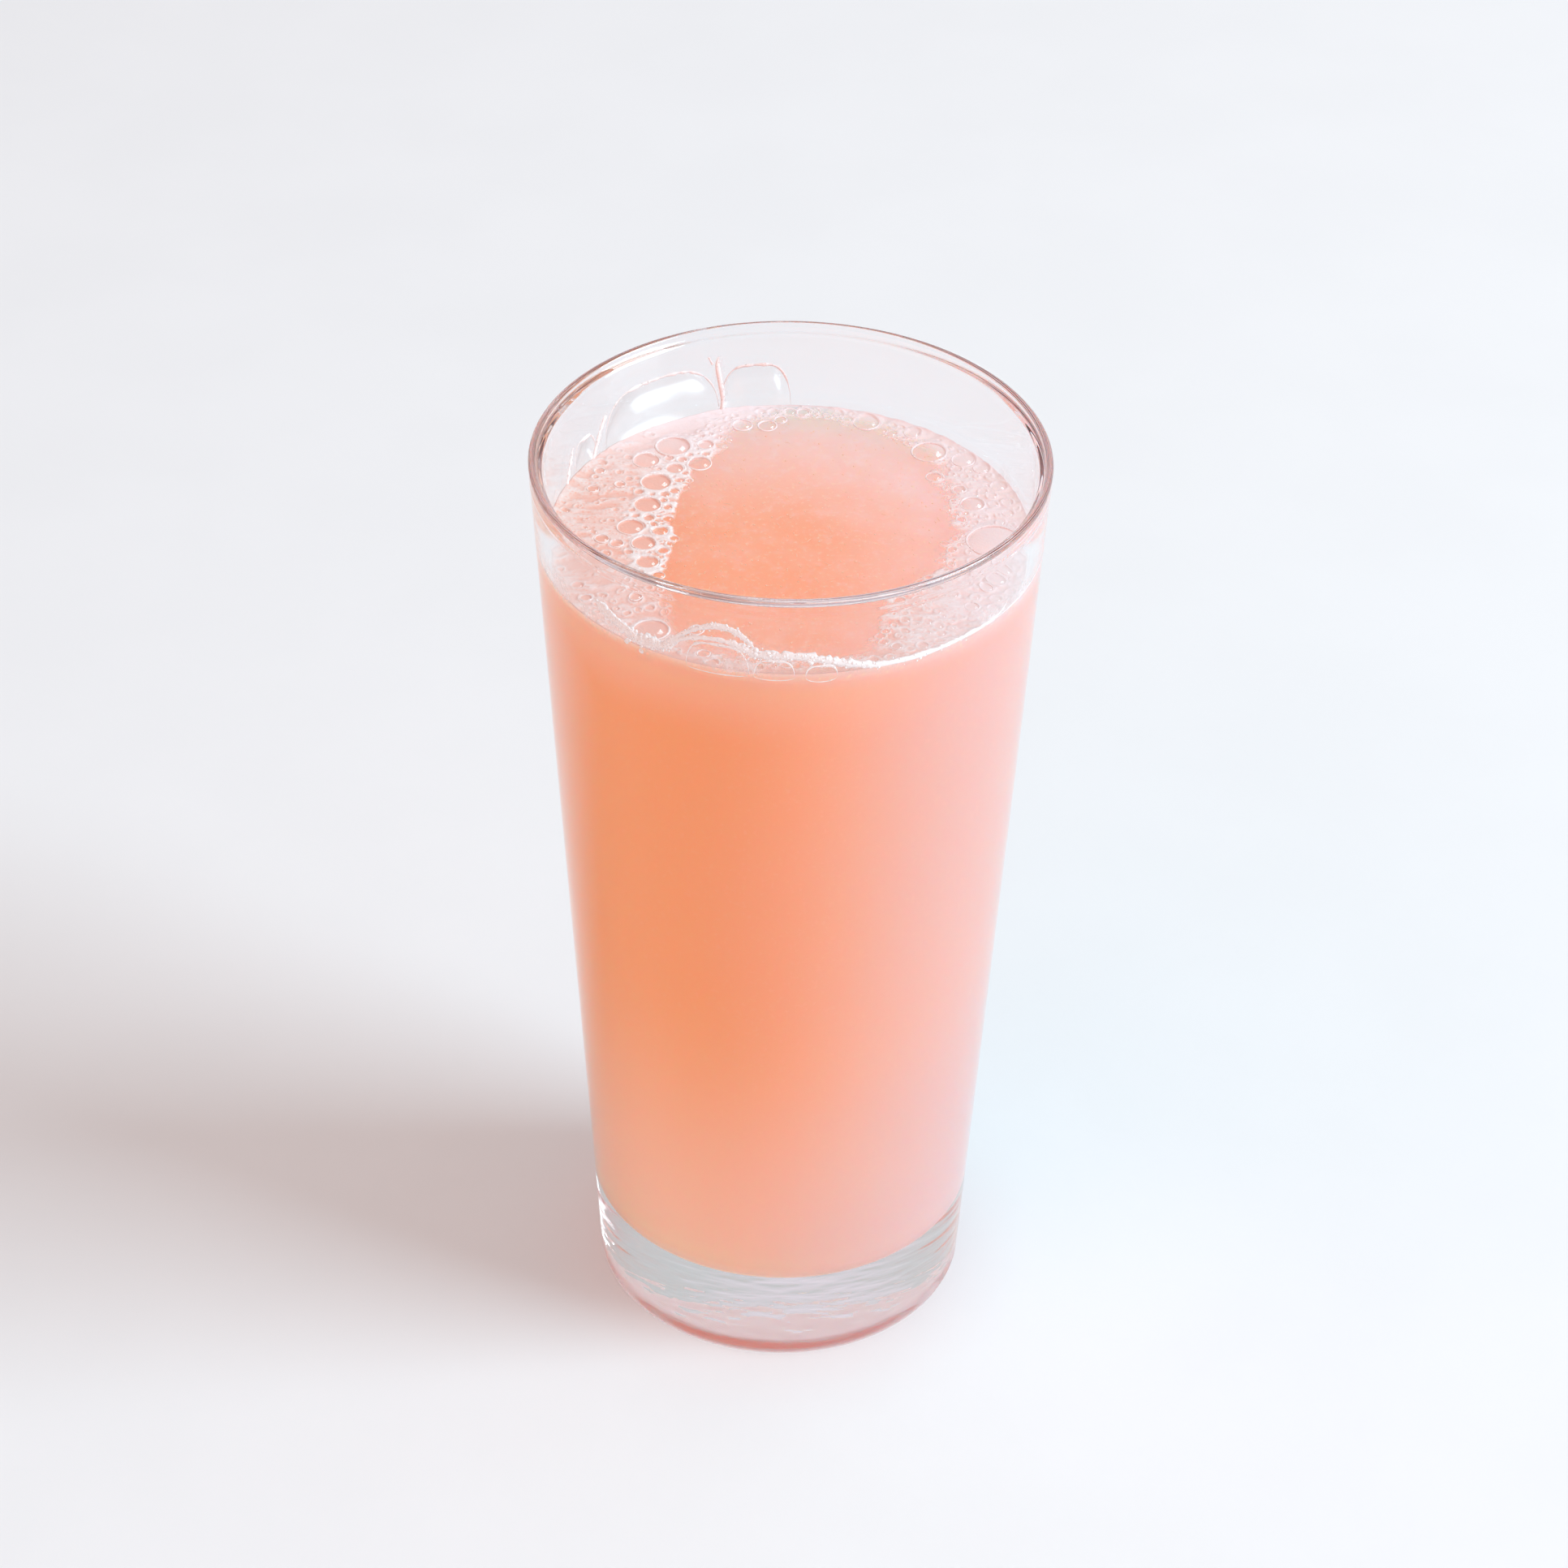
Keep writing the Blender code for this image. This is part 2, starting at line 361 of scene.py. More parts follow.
def line_points(start: Sequence[float], end: Sequence[float], steps: int) -> Array:
    """Points (radius, height) evenly between two, both ends left out."""
    share = np.linspace(0.0, 1.0, steps + 2)[1:-1, None]
    return np.asarray(start) * (1.0 - share) + np.asarray(end) * share


def turned(profile: Array, steps: int) -> Surface:
    """Turn a profile (radius, height) round Z.

    Point (r, h) at bearing b lies at (r cos b, r sin b, h). The profile's
    ends lie on the axis and become poles.

    Args:
        profile: Points by 2, from pole to pole.
        steps: Places round the axis.

    Returns:
        The closed surface, faces outward.
    """
    bearing = full_turn(steps)
    radius, height = profile[1:-1, 0, None], profile[1:-1, 1, None]
    poles = [np.array([0.0, 0.0, profile[k, 1]]) for k in (0, -1)]
    return Surface.from_rings(polar(radius, bearing, height), *poles).facing_out()


def turned_by(bearing: Array, other: Array) -> Array:
    """Smallest turn in radians from each bearing to each of the others."""
    return np.remainder(bearing[..., None] - other + np.pi, 2.0 * np.pi) - np.pi


def unit_ball(sides: int, rings: int) -> Surface:
    """Build a ball of radius 1.

    The point at longitude u and latitude v is
    (cos v cos u, cos v sin u, sin v).

    Args:
        sides: Places round the axis.
        rings: Steps from pole to pole.

    Returns:
        The ball.
    """
    longitude = full_turn(sides)
    latitude = np.linspace(-0.5 * np.pi, 0.5 * np.pi, rings + 1)[1:-1, None]
    points = polar(np.cos(latitude), longitude, np.sin(latitude))
    return Surface.from_rings(points, np.array([0.0, 0.0, -1.0]),
                              np.array([0.0, 0.0, 1.0])).facing_out()


def smooth_path(points: Array, steps: int) -> Array:
    """Carry a smooth curve through points, by the Catmull-Rom rule.

    Between points b and c, with a before and d after, the curve at share t
    is half of 2b + (c - a)t + (2a - 5b + 4c - d)t^2 + (3b - a - 3c + d)t^3.

    Args:
        points: Points by any number of values.
        steps: Places between each two points.

    Returns:
        The curve's points, the last one included.
    """
    padded = np.concatenate([2 * points[:1] - points[1:2], points,
                             2 * points[-1:] - points[-2:-1]])
    a, b, c, d = (padded[k:len(padded) - 3 + k, None] for k in range(4))
    t = np.linspace(0.0, 1.0, steps, endpoint=False)[None, :, None]
    curve = 0.5 * (2 * b + (c - a) * t + (2 * a - 5 * b + 4 * c - d) * t ** 2
                   + (3 * b - a - 3 * c + d) * t ** 3)
    return np.concatenate([curve.reshape(-1, points.shape[1]), points[-1:]])


@dataclass
class Sheet:
    """Short calls for laying out the nodes of one tree."""

    tree: bpy.types.NodeTree

    def wire(self, node: Node, values: Feeds) -> None:
        """Feed a node's inputs, listed by name or by number."""
        for key, value in values.items():
            self.feed(node.inputs[key], value)

    def feed(self, socket: Socket, value: Value) -> None:
        """Link a socket to another, or set its plain value.

        Args:
            socket: The input.
            value: Another node's output, or a number, or a colour of three
                values, which gets full alpha.
        """
        if isinstance(value, Socket):
            self.tree.links.new(value, socket)
        else:
            socket.default_value = (*value, 1.0) if socket.type == "RGBA" else value

    def add(self, kind: str, values: Optional[Feeds] = None, **settings: object) -> Node:
        """Add a node, set its properties, then feed its inputs.

        Args:
            kind: Type of the node.
            values: What feeds its inputs.
            settings: Its properties.

        Returns:
            The node.
        """
        node = self.tree.nodes.new(kind)
        for key, value in settings.items():
            setattr(node, key, value)
        self.wire(node, values or {})
        return node

    def math(self, operation: str, a: Value, b: Value) -> Socket:
        """Combine two values, held between 0 and 1."""
        return self.add("ShaderNodeMath", {0: a, 1: b}, operation=operation,
                        use_clamp=True).outputs[0]

    def ramp(self, value: Value, low: float, high: float, start: float = 0.0,
             end: float = 1.0) -> Socket:
        """Ease a value from start at low to end at high."""
        limits = {"From Min": low, "From Max": high, "To Min": start, "To Max": end}
        return self.add("ShaderNodeMapRange", {"Value": value, **limits},
                        interpolation_type="SMOOTHSTEP").outputs["Result"]

    def mix(self, factor: Value, a: Value, b: Value) -> Socket:
        """Mix two colours."""
        return self.add("ShaderNodeMix", {0: factor, 6: a, 7: b}, data_type="RGBA").outputs[2]

    def place(self) -> Socket:
        """The shaded point's place from the object's origin."""
        return self.add("ShaderNodeTexCoord").outputs["Object"]

    def noise(self, scale: Value, detail: float, rough: float = 0.5) -> Socket:
        """Noise over the object's own coordinates."""
        return self.add("ShaderNodeTexNoise", {"Vector": self.place(), "Scale": scale,
                                               "Detail": detail, "Roughness": rough}).outputs[0]

    def coordinate(self, axis: str) -> Socket:
        """One of the shaded point's coordinates from the object's origin."""
        return self.add("ShaderNodeSeparateXYZ", {0: self.place()}).outputs[axis]

    def from_axis(self) -> Socket:
        """The shaded point's distance from the object's Z axis."""
        flat = self.add("ShaderNodeCombineXYZ", {k: self.coordinate(k) for k in "XY"})
        return self.add("ShaderNodeVectorMath", {0: flat.outputs[0]},
                        operation="LENGTH").outputs["Value"]

    def point_field(self, name: str) -> Socket:
        """A value stored on the mesh's points."""
        return self.add("ShaderNodeAttribute", attribute_name=name).outputs["Fac"]

    def bump(self, height: Value, strength: float, distance: float) -> Socket:
        """Turn a height into a shading normal."""
        return self.add("ShaderNodeBump", {"Strength": strength, "Distance": distance,
                                           "Height": height}).outputs[0]

    def flecks(self, group: bpy.types.NodeTree, scale: float = 1000.0,
               level: float = 0.6) -> tuple[Socket, Socket]:
        """The mask and the height of the group of fine flecks."""
        node = self.add("ShaderNodeGroup", {"Scale": scale, "Level": level}, node_tree=group)
        return node.outputs["Mask"], node.outputs["Height"]

    def passing_rays(self) -> Socket:
        """1 for shadow and diffuse rays, 0 for all others."""
        path = self.add("ShaderNodeLightPath")
        return self.math("MAXIMUM", path.outputs["Is Shadow Ray"],
                         path.outputs["Is Diffuse Ray"])

    def show_mix(self, share: Value, first: Node, second: Node) -> None:
        """Make the material's surface a mix of two shaders."""
        mix = self.add("ShaderNodeMixShader", {0: share, 1: first.outputs[0],
                                               2: second.outputs[0]})
        self.wire(self.tree.nodes["Material Output"], {"Surface": mix.outputs[0]})

    def let_light_through(self, shader: Node, clear: Colour) -> None:
        """Make a material clear for shadow and diffuse rays alone.

        Args:
            shader: Its Principled BSDF, which stays for all other rays.
            clear: Colour that the passing light keeps.
        """
        gap = self.add("ShaderNodeBsdfTransparent", {"Color": clear})
        self.show_mix(self.passing_rays(), shader, gap)


def new_material(name: str) -> tuple[Material, Sheet, Node]:
    """Start a material.

    Args:
        name: Name of the finish.

    Returns:
        The material, its node sheet and its Principled node.
    """
    material = bpy.data.materials.new(name)
    material.use_nodes = True
    return material, Sheet(material.node_tree), material.node_tree.nodes["Principled BSDF"]


def speckle_group() -> bpy.types.NodeTree:
    """Build the node group of fine flecks that drink, froth and pulp share.

    Its mask is noise over the object's coordinates, cut at a level, so that
    only the noise's peaks show as flecks.

    Returns:
        The group, with inputs Scale and Level and outputs Mask and Height.
    """
    group = bpy.data.node_groups.new("fine_flecks", "ShaderNodeTree")
    for name, value in (("Scale", 1000.0), ("Level", 0.6)):
        socket = group.interface.new_socket(name, in_out="INPUT",
                                            socket_type="NodeSocketFloat")
        socket.default_value = value
    for name in ("Mask", "Height"):
        group.interface.new_socket(name, in_out="OUTPUT", socket_type="NodeSocketFloat")
    sheet = Sheet(group)
    entry = sheet.add("NodeGroupInput").outputs
    noise = sheet.noise(entry["Scale"], 3.0)
    above = sheet.math("SUBTRACT", noise, entry["Level"])
    sheet.add("NodeGroupOutput", {"Mask": sheet.math("MULTIPLY", above, 8.0),
                                  "Height": noise})
    return group


@dataclass(frozen=True)
class GlassFinish:
    """Polished clear glass that lets lamps through to what it holds."""

    tint: Colour = (0.992, 0.983, 0.994)
    passing: Colour = (0.94, 0.94, 0.94)
    ior: float = 1.5
    ripple_scale: float = 30.0
    ripple_strength: float = 0.008
    ripple_depth: float = 0.2 * MM

    def build(self) -> Material:
        """Build the material.

        Returns:
            Glass for the camera, mirror and refracted rays, and Transparent
            for shadow and diffuse rays, so that light reaches the drink.
        """
        material, sheet, shader = new_material("clear_glass")
        ripple = sheet.noise(self.ripple_scale, 1.0)
        sheet.wire(shader, {
            "Base Color": self.tint, "Roughness": 0.0, "IOR": self.ior,
            "Transmission Weight": 1.0,
            "Normal": sheet.bump(ripple, self.ripple_strength, self.ripple_depth)})
        sheet.let_light_through(shader, self.passing)
        return material


@dataclass(frozen=True)
class LemonadeFinish:
    """Cloudy pink-orange drink that light soaks deep into."""

    group: bpy.types.NodeTree
    level: float
    floor: float
    wall: float
    body: Colour = (0.995, 0.395, 0.16)
    # Body towards +X, pinker where the lamp falls: painted light.
    lit_body: Colour = (0.76, 0.415, 0.37)
    under_top: Colour = (0.99, 0.55, 0.43)
    above_floor: Colour = (0.965, 0.60, 0.46)
    # Lower drink towards +X, pinker where the lamp falls: painted light.
    lit_low: Colour = (0.67, 0.42, 0.42)
    thrown_back: Colour = (0.935, 0.91, 0.915)
    surface: Colour = (0.985, 0.36, 0.215)
    # Colour the open surface pales to: haze, and painted light towards the back and +X.
    haze_and_painted_light: Colour = (0.98, 0.615, 0.585)
    edge: Colour = (0.995, 0.41, 0.33)
    # Brink towards +X, pinker where the lamp falls: painted light.
    lit_edge: Colour = (0.84, 0.46, 0.45)
    heel: Colour = (0.99, 0.43, 0.33)
    # Heel towards +X, where the lamp falls: painted light.
    lit_heel: Colour = (0.72, 0.36, 0.37)
    fleck: Colour = (0.99, 0.60, 0.42)
    reach: Colour = (1.0, 0.45, 0.28)
    reach_scale: float = 0.026
    ior: float = 1.34
    mirror_from: float = 0.38
    mirror_soft: float = 0.03

    def body_colour(self, sheet: Sheet, height: Socket) -> Socket:
        """Lay out the drink's clouds, as seen through the glass.

        Towards +X, where the lamp falls, it turns to a pinker colour: painted light.
        It is also paler at the -X side and cloudier just under the open surface.
        The brink of the surface, the lower drink and the heel each have a colour of
        their own, and a pinker one towards +X that is painted light as well.

        Args:
            sheet: The material's nodes.
            height: The shaded point's height.

        Returns:
            The colour.
        """
        # How far towards +X, where the lamp falls, with a little noise: it blends in the pinker
        # painted-light colours.
        drift = sheet.math("MULTIPLY", sheet.noise(22.0, 1.0), 0.02)
        across = sheet.add("ShaderNodeMath", {0: sheet.coordinate("X"), 1: drift},
                           operation="ADD")
        lit_side = sheet.ramp(across.outputs[0], -11 * MM, 42 * MM)
        colour = sheet.mix(lit_side, self.body, self.lit_body)
        left = sheet.ramp(sheet.coordinate("X"), -25 * MM, -32 * MM, 0.0, 0.5)
        near_top = sheet.ramp(height, self.level - 14 * MM, self.level, 0.0, 0.65)
        near_top = sheet.math("MULTIPLY", near_top, sheet.math("SUBTRACT", 1.0, lit_side))
        colour = sheet.mix(sheet.math("MAXIMUM", left, near_top), colour, self.under_top)
        brink = sheet.ramp(height, self.level - 3.5 * MM, self.level - 0.5 * MM, 0.0, 0.85)
        low = sheet.ramp(height, self.floor + 62 * MM, self.floor, 0.0, 0.85)
        heel = sheet.ramp(height, self.floor + 4.5 * MM, self.floor + 0.5 * MM, 0.0, 0.9)
        # Each mark's own colour, turned pinker towards +X where the lamp falls: painted light.
        for share, clear, dull in ((brink, self.edge, self.lit_edge),
                                   (low, self.above_floor, self.lit_low),
                                   (heel, self.heel, self.lit_heel)):
            colour = sheet.mix(share, colour, sheet.mix(lit_side, clear, dull))
        return colour

    def surface_colour(self, sheet: Sheet) -> Socket:
        """Lay out the open surface's colour.

        It pales towards the back and towards +X, partly a haze of fine froth and
        partly painted light from the lamp's side. It also hazes over near the wall,
        with wide and fine patches everywhere.

        Args:
            sheet: The material's nodes.

        Returns:
            The colour.
        """
        # Paler towards the back and +X: partly haze, partly painted light from the lamp's side.
        back = sheet.ramp(sheet.coordinate("Y"), -2 * MM, 34 * MM)
        right = sheet.ramp(sheet.coordinate("X"), 0.0, 32 * MM)
        wide = sheet.ramp(sheet.noise(110.0, 3.0), 0.45, 0.75, 0.0, 0.14)
        fine = sheet.ramp(sheet.noise(520.0, 5.0, 0.65), 0.48, 0.72, 0.0, 0.17)
        near_wall = sheet.ramp(sheet.from_axis(), 25 * MM, 35 * MM, 0.0, 0.3)
        haze_and_painted_light = sheet.math("MULTIPLY", sheet.math("ADD", back, right), 0.8)
        spots = sheet.math("ADD", sheet.math("ADD", wide, fine), near_wall)
        return sheet.mix(sheet.math("ADD", haze_and_painted_light, spots), self.surface, self.haze_and_painted_light)

    def mirror_share(self, sheet: Sheet, height: Socket, open_top: Socket) -> Socket:
        """How much of what travels inside the glass the drink throws back.

        Where the drink touches the glass, such light meets it at a slant.
        Past the angle whose facing value is mirror_from it is thrown back, in
        full at the wall and in part at the floor.

        Args:
            sheet: The material's nodes.
            height: The shaded point's height.
            open_top: 1 on the open surface.

        Returns:
            The share, from 0 to 1.
        """
        slant = sheet.add("ShaderNodeLayerWeight").outputs["Facing"]
        beyond = sheet.ramp(slant, self.mirror_from - self.mirror_soft,
                            self.mirror_from + self.mirror_soft)
        under = sheet.ramp(height, self.floor + 0.15 * MM, self.floor - 0.05 * MM, 0.0, 0.6)
        side = sheet.ramp(height, self.floor + 1.5 * MM, self.floor + 4 * MM)
        walls = sheet.math("MULTIPLY", beyond, sheet.math("ADD", under, side))
        return sheet.math("MULTIPLY", walls, sheet.math("SUBTRACT", 1.0, open_top))

    def build(self) -> Material:
        """Build the material.

        Returns:
            Subsurface colour with fine flecks, which mirrors by mirror_share,
            and a clear coat on the open surface alone.
        """
        material, sheet, shader = new_material("lemonade")
        height = sheet.coordinate("Z")
        inside = sheet.ramp(sheet.from_axis(), self.wall, self.wall - 0.15 * MM)
        open_top = sheet.ramp(height, self.level - 0.4 * MM, self.level - 0.1 * MM)
        open_top = sheet.math("MULTIPLY", open_top, inside)
        colour = sheet.mix(open_top, self.body_colour(sheet, height),
                           self.surface_colour(sheet))
        mask, grain = sheet.flecks(self.group, 1500.0, 0.58)
        amount = sheet.math("MULTIPLY", mask,
                            sheet.ramp(height, self.level - 2 * MM, self.level, 0.1, 0.5))
        colour = sheet.mix(amount, colour, self.fleck)
        mirror = self.mirror_share(sheet, height, open_top)
        sheet.wire(shader, {
            "Metallic": mirror, "Base Color": sheet.mix(mirror, colour, self.thrown_back),
            "Roughness": 0.03, "IOR": self.ior, "Specular IOR Level": 0.0,
            "Subsurface Weight": 1.0, "Subsurface Radius": self.reach,
            "Subsurface Scale": self.reach_scale, "Coat IOR": self.ior,
            "Coat Roughness": 0.06, "Coat Weight": open_top,
            "Normal": sheet.bump(grain, 0.12, 0.1 * MM)})
        return material


@dataclass(frozen=True)
class FrothFinish:
    """White wet froth over a skin of drink, clear where there is neither."""

    group: bpy.types.NodeTree
    name: str = "froth"
    wet: Colour = (0.91, 0.48, 0.39)
    milky: Colour = (0.985, 0.83, 0.86)
    colour: Colour = (0.90, 0.75, 0.73)
    crest: Colour = (0.945, 0.85, 0.84)
    passing: Colour = (0.975, 0.955, 0.95)
    pit_scale: float = 1500.0
    roughness: float = 0.25

    def build(self) -> Material:
        """Build the material.

        The whiteness comes from the points' foam value less the pits of the
        finest bubbles, and the points' skin value keeps the drink's own
        colour opaque between them. Froth and skin turn milky towards +X and
        the back.

        Returns:
            Near-white or the drink's colour by the whiteness, with alpha from
            the larger of whiteness and skin.
        """
        material, sheet, shader = new_material(self.name)
        cells = sheet.add("ShaderNodeTexVoronoi", {"Vector": sheet.place(),
                                                   "Scale": self.pit_scale})
        pits = sheet.ramp(cells.outputs["Distance"], 0.42, 0.12, 0.0, 0.3)
        foam = sheet.math("SUBTRACT", sheet.point_field(FOAM_FIELD), pits)
        white = sheet.ramp(foam, 0.03, 0.85)
        mask, grain = sheet.flecks(self.group, 2600.0, 0.5)
        milk = sheet.math("ADD", *(sheet.ramp(sheet.coordinate(k), 12 * MM, 36 * MM)
                                   for k in "XY"))
        skin = sheet.mix(milk, self.wet, self.milky)
        froth = sheet.mix(milk, sheet.mix(mask, self.colour, self.crest), self.milky)
        sheet.wire(shader, {
            "Base Color": sheet.mix(white, skin, froth), "Roughness": self.roughness,
            "IOR": 1.33, "Normal": sheet.bump(grain, 0.3, 0.15 * MM),
            "Alpha": sheet.math("MAXIMUM", white, sheet.point_field(SKIN_FIELD))})
        sheet.let_light_through(shader, self.passing)
        return material


@dataclass(frozen=True)
class FilmFinish:
    """Clear bubble film: nothing but a mirror that grows towards the edges."""

    name: str
    roughness: float
    gain: float
    least: float = 0.04

    def build(self) -> Material:
        """Build the material.

        A film has air on both sides, so its mirror share depends on the slant
        alone: the least share, plus the gain times the fifth power of one
        less the cosine.

        Returns:
            A mix of Transparent and a mirror by that share, and all
            Transparent for shadow and diffuse rays.
        """
        material, sheet, shader = new_material(self.name)
        sheet.wire(shader, {"Base Color": (1.0, 1.0, 1.0), "Metallic": 1.0,
                            "Roughness": self.roughness})
        slant = sheet.add("ShaderNodeLayerWeight").outputs["Facing"]
        growth = sheet.math("MULTIPLY", sheet.math("POWER", slant, 5.0), self.gain)
        share = sheet.math("SUBTRACT", sheet.math("ADD", self.least, growth),
                           sheet.passing_rays())
        sheet.show_mix(share, sheet.add("ShaderNodeBsdfTransparent"), shader)
        return material


@dataclass(frozen=True)
class PulpFinish:
    """Pale threads of fruit pulp."""

    group: bpy.types.NodeTree
    colour: Colour = (0.98, 0.52, 0.36)
    pale: Colour = (0.99, 0.74, 0.62)

    def build(self) -> Material:
        """Build the material.

        Returns:
            The pulp's colour with paler flecks.
        """
        material, sheet, shader = new_material("pulp")
        mask = sheet.flecks(self.group)[0]
        sheet.wire(shader, {"Base Color": sheet.mix(mask, self.colour, self.pale),
                            "Roughness": 0.3})
        return material


@dataclass(frozen=True)
class FloorFinish:
    """Plain pale studio paper."""

    colour: Colour = (0.86, 0.86, 0.88)
    shade: float = 0.985

    def build(self) -> Material:
        """Build the material.

        Returns:
            The paper's colour with a faint, wide grain.
        """
        material, sheet, shader = new_material("studio_paper")
        grain = sheet.ramp(sheet.noise(25.0, 3.0), 0.3, 0.7)
        dull = tuple(self.shade * c for c in self.colour)
        sheet.wire(shader, {"Base Color": sheet.mix(grain, dull, self.colour),
                            "Roughness": 0.7, "Specular IOR Level": 0.2})
        return material


@dataclass
class Tumbler:
    """The glass: a straight cone with a thick base and a melted lip."""

    height: float
    rim_radius: float
    base_thickness: float
    foot_cone_radius: float = 0.0286
    rim_wall: float = 0.0019
    low_wall: float = 0.0025
    lip_radius: float = 0.00055
    lip_taper: float = 0.0013
    heel_radius: float = 0.0024
    inner_corner: float = 0.0030
    floor_dish: float = 0.0006
    foot_recess: float = 0.0005
    shoulder_drop: float = 0.0027
    shoulder: float = 0.00005
    shoulder_width: float = 0.4 * MM
    floor_ripple: float = 0.25 * MM
    foot_grain: float = 0.20 * MM
    arc_steps: int = 16
    lip_steps: int = 20
    steps: int = 384

    @classmethod
    def from_frame(cls) -> "Tumbler":
        """Read the glass's height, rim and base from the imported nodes.

        Returns:
            The glass.
        """
        low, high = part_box("glass")
        height = high[2] - low[2]
        share = 1.0 - cls.lip_radius / height
        rim = cls.foot_cone_radius + (high[0] - cls.foot_cone_radius) / share
        drink_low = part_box("drink")[0][2]
        gap = 0.3 * MM
        return cls(height, rim, drink_low - gap + cls.floor_dish)

    def outer(self, height: Union[float, Array]) -> Union[float, Array]:
        """Radius of the outer cone at a height."""
        return self.foot_cone_radius + (self.rim_radius - self.foot_cone_radius) \
            * height / self.height

    def inner(self, height: Union[float, Array]) -> Union[float, Array]:
        """Radius of the inner cone at a height."""
        wall = self.low_wall + (self.rim_wall - self.low_wall) * height / self.height
        return self.outer(height) - wall

    def corner_centre(self) -> tuple[float, float]:
        """Centre of the arc where the inner wall meets the inner floor."""
        height = self.base_thickness + self.inner_corner
        return self.inner(height) - self.inner_corner, height

    def floor_line(self, steps: int, lift: float = 0.0) -> Array:
        """Points along the inner floor, dished towards the axis.

        At share s of the way out the floor lies the dish's depth times
        1 - s^2 below the base's thickness.

        Args:
            steps: How many points.
            lift: How far to raise them.

        Returns:
            Radii and heights, as points by 2.
        """
        share = np.linspace(0.0, 1.0, steps, endpoint=False)
        return np.stack([self.corner_centre()[0] * share,
                         self.base_thickness + lift
                         - self.floor_dish * (1.0 - share ** 2)], axis=-1)

    def lip_line(self, steps: int) -> Array:
        """Points up the inside of the lip, where the wall thins.

        At share s of the way up, the wall has lost 3s^2 - 2s^3 of what it is
        thicker than the round lip.

        Args:
            steps: How many points.

        Returns:
            Radii and heights, as points by 2.
        """
        share = np.linspace(0.0, 1.0, steps, endpoint=False)
        height = self.height - self.lip_radius - self.lip_taper * (1.0 - share)
        spare = self.outer(height) - self.inner(height) - 2.0 * self.lip_radius
        loss = spare * smooth_step(0.0, 1.0, share)
        return np.stack([self.inner(height) + loss, height], axis=-1)

    def outer_line(self, start: Array, end: Array) -> Array:
        """Points down the outer wall, with a faint shoulder under the lip.

        At height z the shoulder stands out by its size times
        e^(-((z - its height) / its width)^2).

        Args:
            start: Radius and height where the lip's arc ends.
            end: Radius and height where the heel's arc starts.

        Returns:
            The points between them.
        """
        share = np.concatenate([np.linspace(0.0, 0.036, 44)[1:],
                                np.linspace(0.04, 1.0, 26)[:-1]])
        line = np.array(start) + (np.array(end) - np.array(start)) * share[:, None]
        away = (line[:, 1] - (self.height - self.shoulder_drop)) / self.shoulder_width
        line[:, 0] += self.shoulder * np.exp(-away ** 2)
        return line

    def profile(self) -> Array:
        """Lay out the section from the inner floor's middle to the foot's.

        Returns:
            Radii and heights over the lip, as points by 2.
        """
        lip_height = self.height - self.lip_radius
        lip = (self.outer(lip_height) - self.lip_radius, lip_height)
        corner = self.corner_centre()
        heel = (self.outer(self.heel_radius) - self.heel_radius, self.heel_radius)
        corner_arc = arc_points(corner, self.inner_corner, -90.0, 0.0, self.arc_steps)
        lip_line = self.lip_line(self.arc_steps)
        lip_arc = arc_points(lip, self.lip_radius, 180.0, 0.0, self.lip_steps)
        heel_arc = arc_points(heel, self.heel_radius, 0.0, -90.0, self.arc_steps)
        share = np.linspace(1.0, 0.0, 70)[1:]
        reach = heel_arc[-1, 0]
        rise = self.foot_recess * smooth_step(0.0, 0.22, 1.0 - share)
        foot = np.stack([reach * share, rise], axis=-1)
        return np.concatenate([self.floor_line(14), corner_arc,
                               line_points(corner_arc[-1], lip_line[0], 24), lip_line,
                               lip_arc,
                               self.outer_line(lip_arc[-1], heel_arc[0]), heel_arc,
                               foot])

    def build(self, material: Material) -> None:
        """Turn the section, ripple the base's faces and dress it.

        The base's inner floor and foot are moved up and down by noise of a
        few hundredths of a millimetre, as pressed glass is.

        Args:
            material: The glass's finish.
        """
        surface = turned(self.profile(), self.steps)
        x, y, z = surface.points.T
        radius = np.hypot(x, y)
        floor = (z < self.base_thickness + 0.2 * MM) & (z > 0.5 * self.base_thickness)
        fade = 1.0 - smooth_step(0.75, 1.0, radius / self.corner_centre()[0])
        wave = layered_noise(x, y, 7 * MM, 31) - 0.5
        surface.points[:, 2] += np.where(floor, self.floor_ripple * wave * fade, 0.0)
        foot = z < self.foot_recess + 0.1 * MM
        grain = layered_noise(x, y, 2.6 * MM, 57) - 0.5
        edge = 1.0 - smooth_step(0.60, 0.86, radius / self.outer(0.0))
        surface.points[:, 2] += np.where(foot, self.foot_grain * grain * edge, 0.0)
        place_piece(surface, "tumbler", material, "glass")


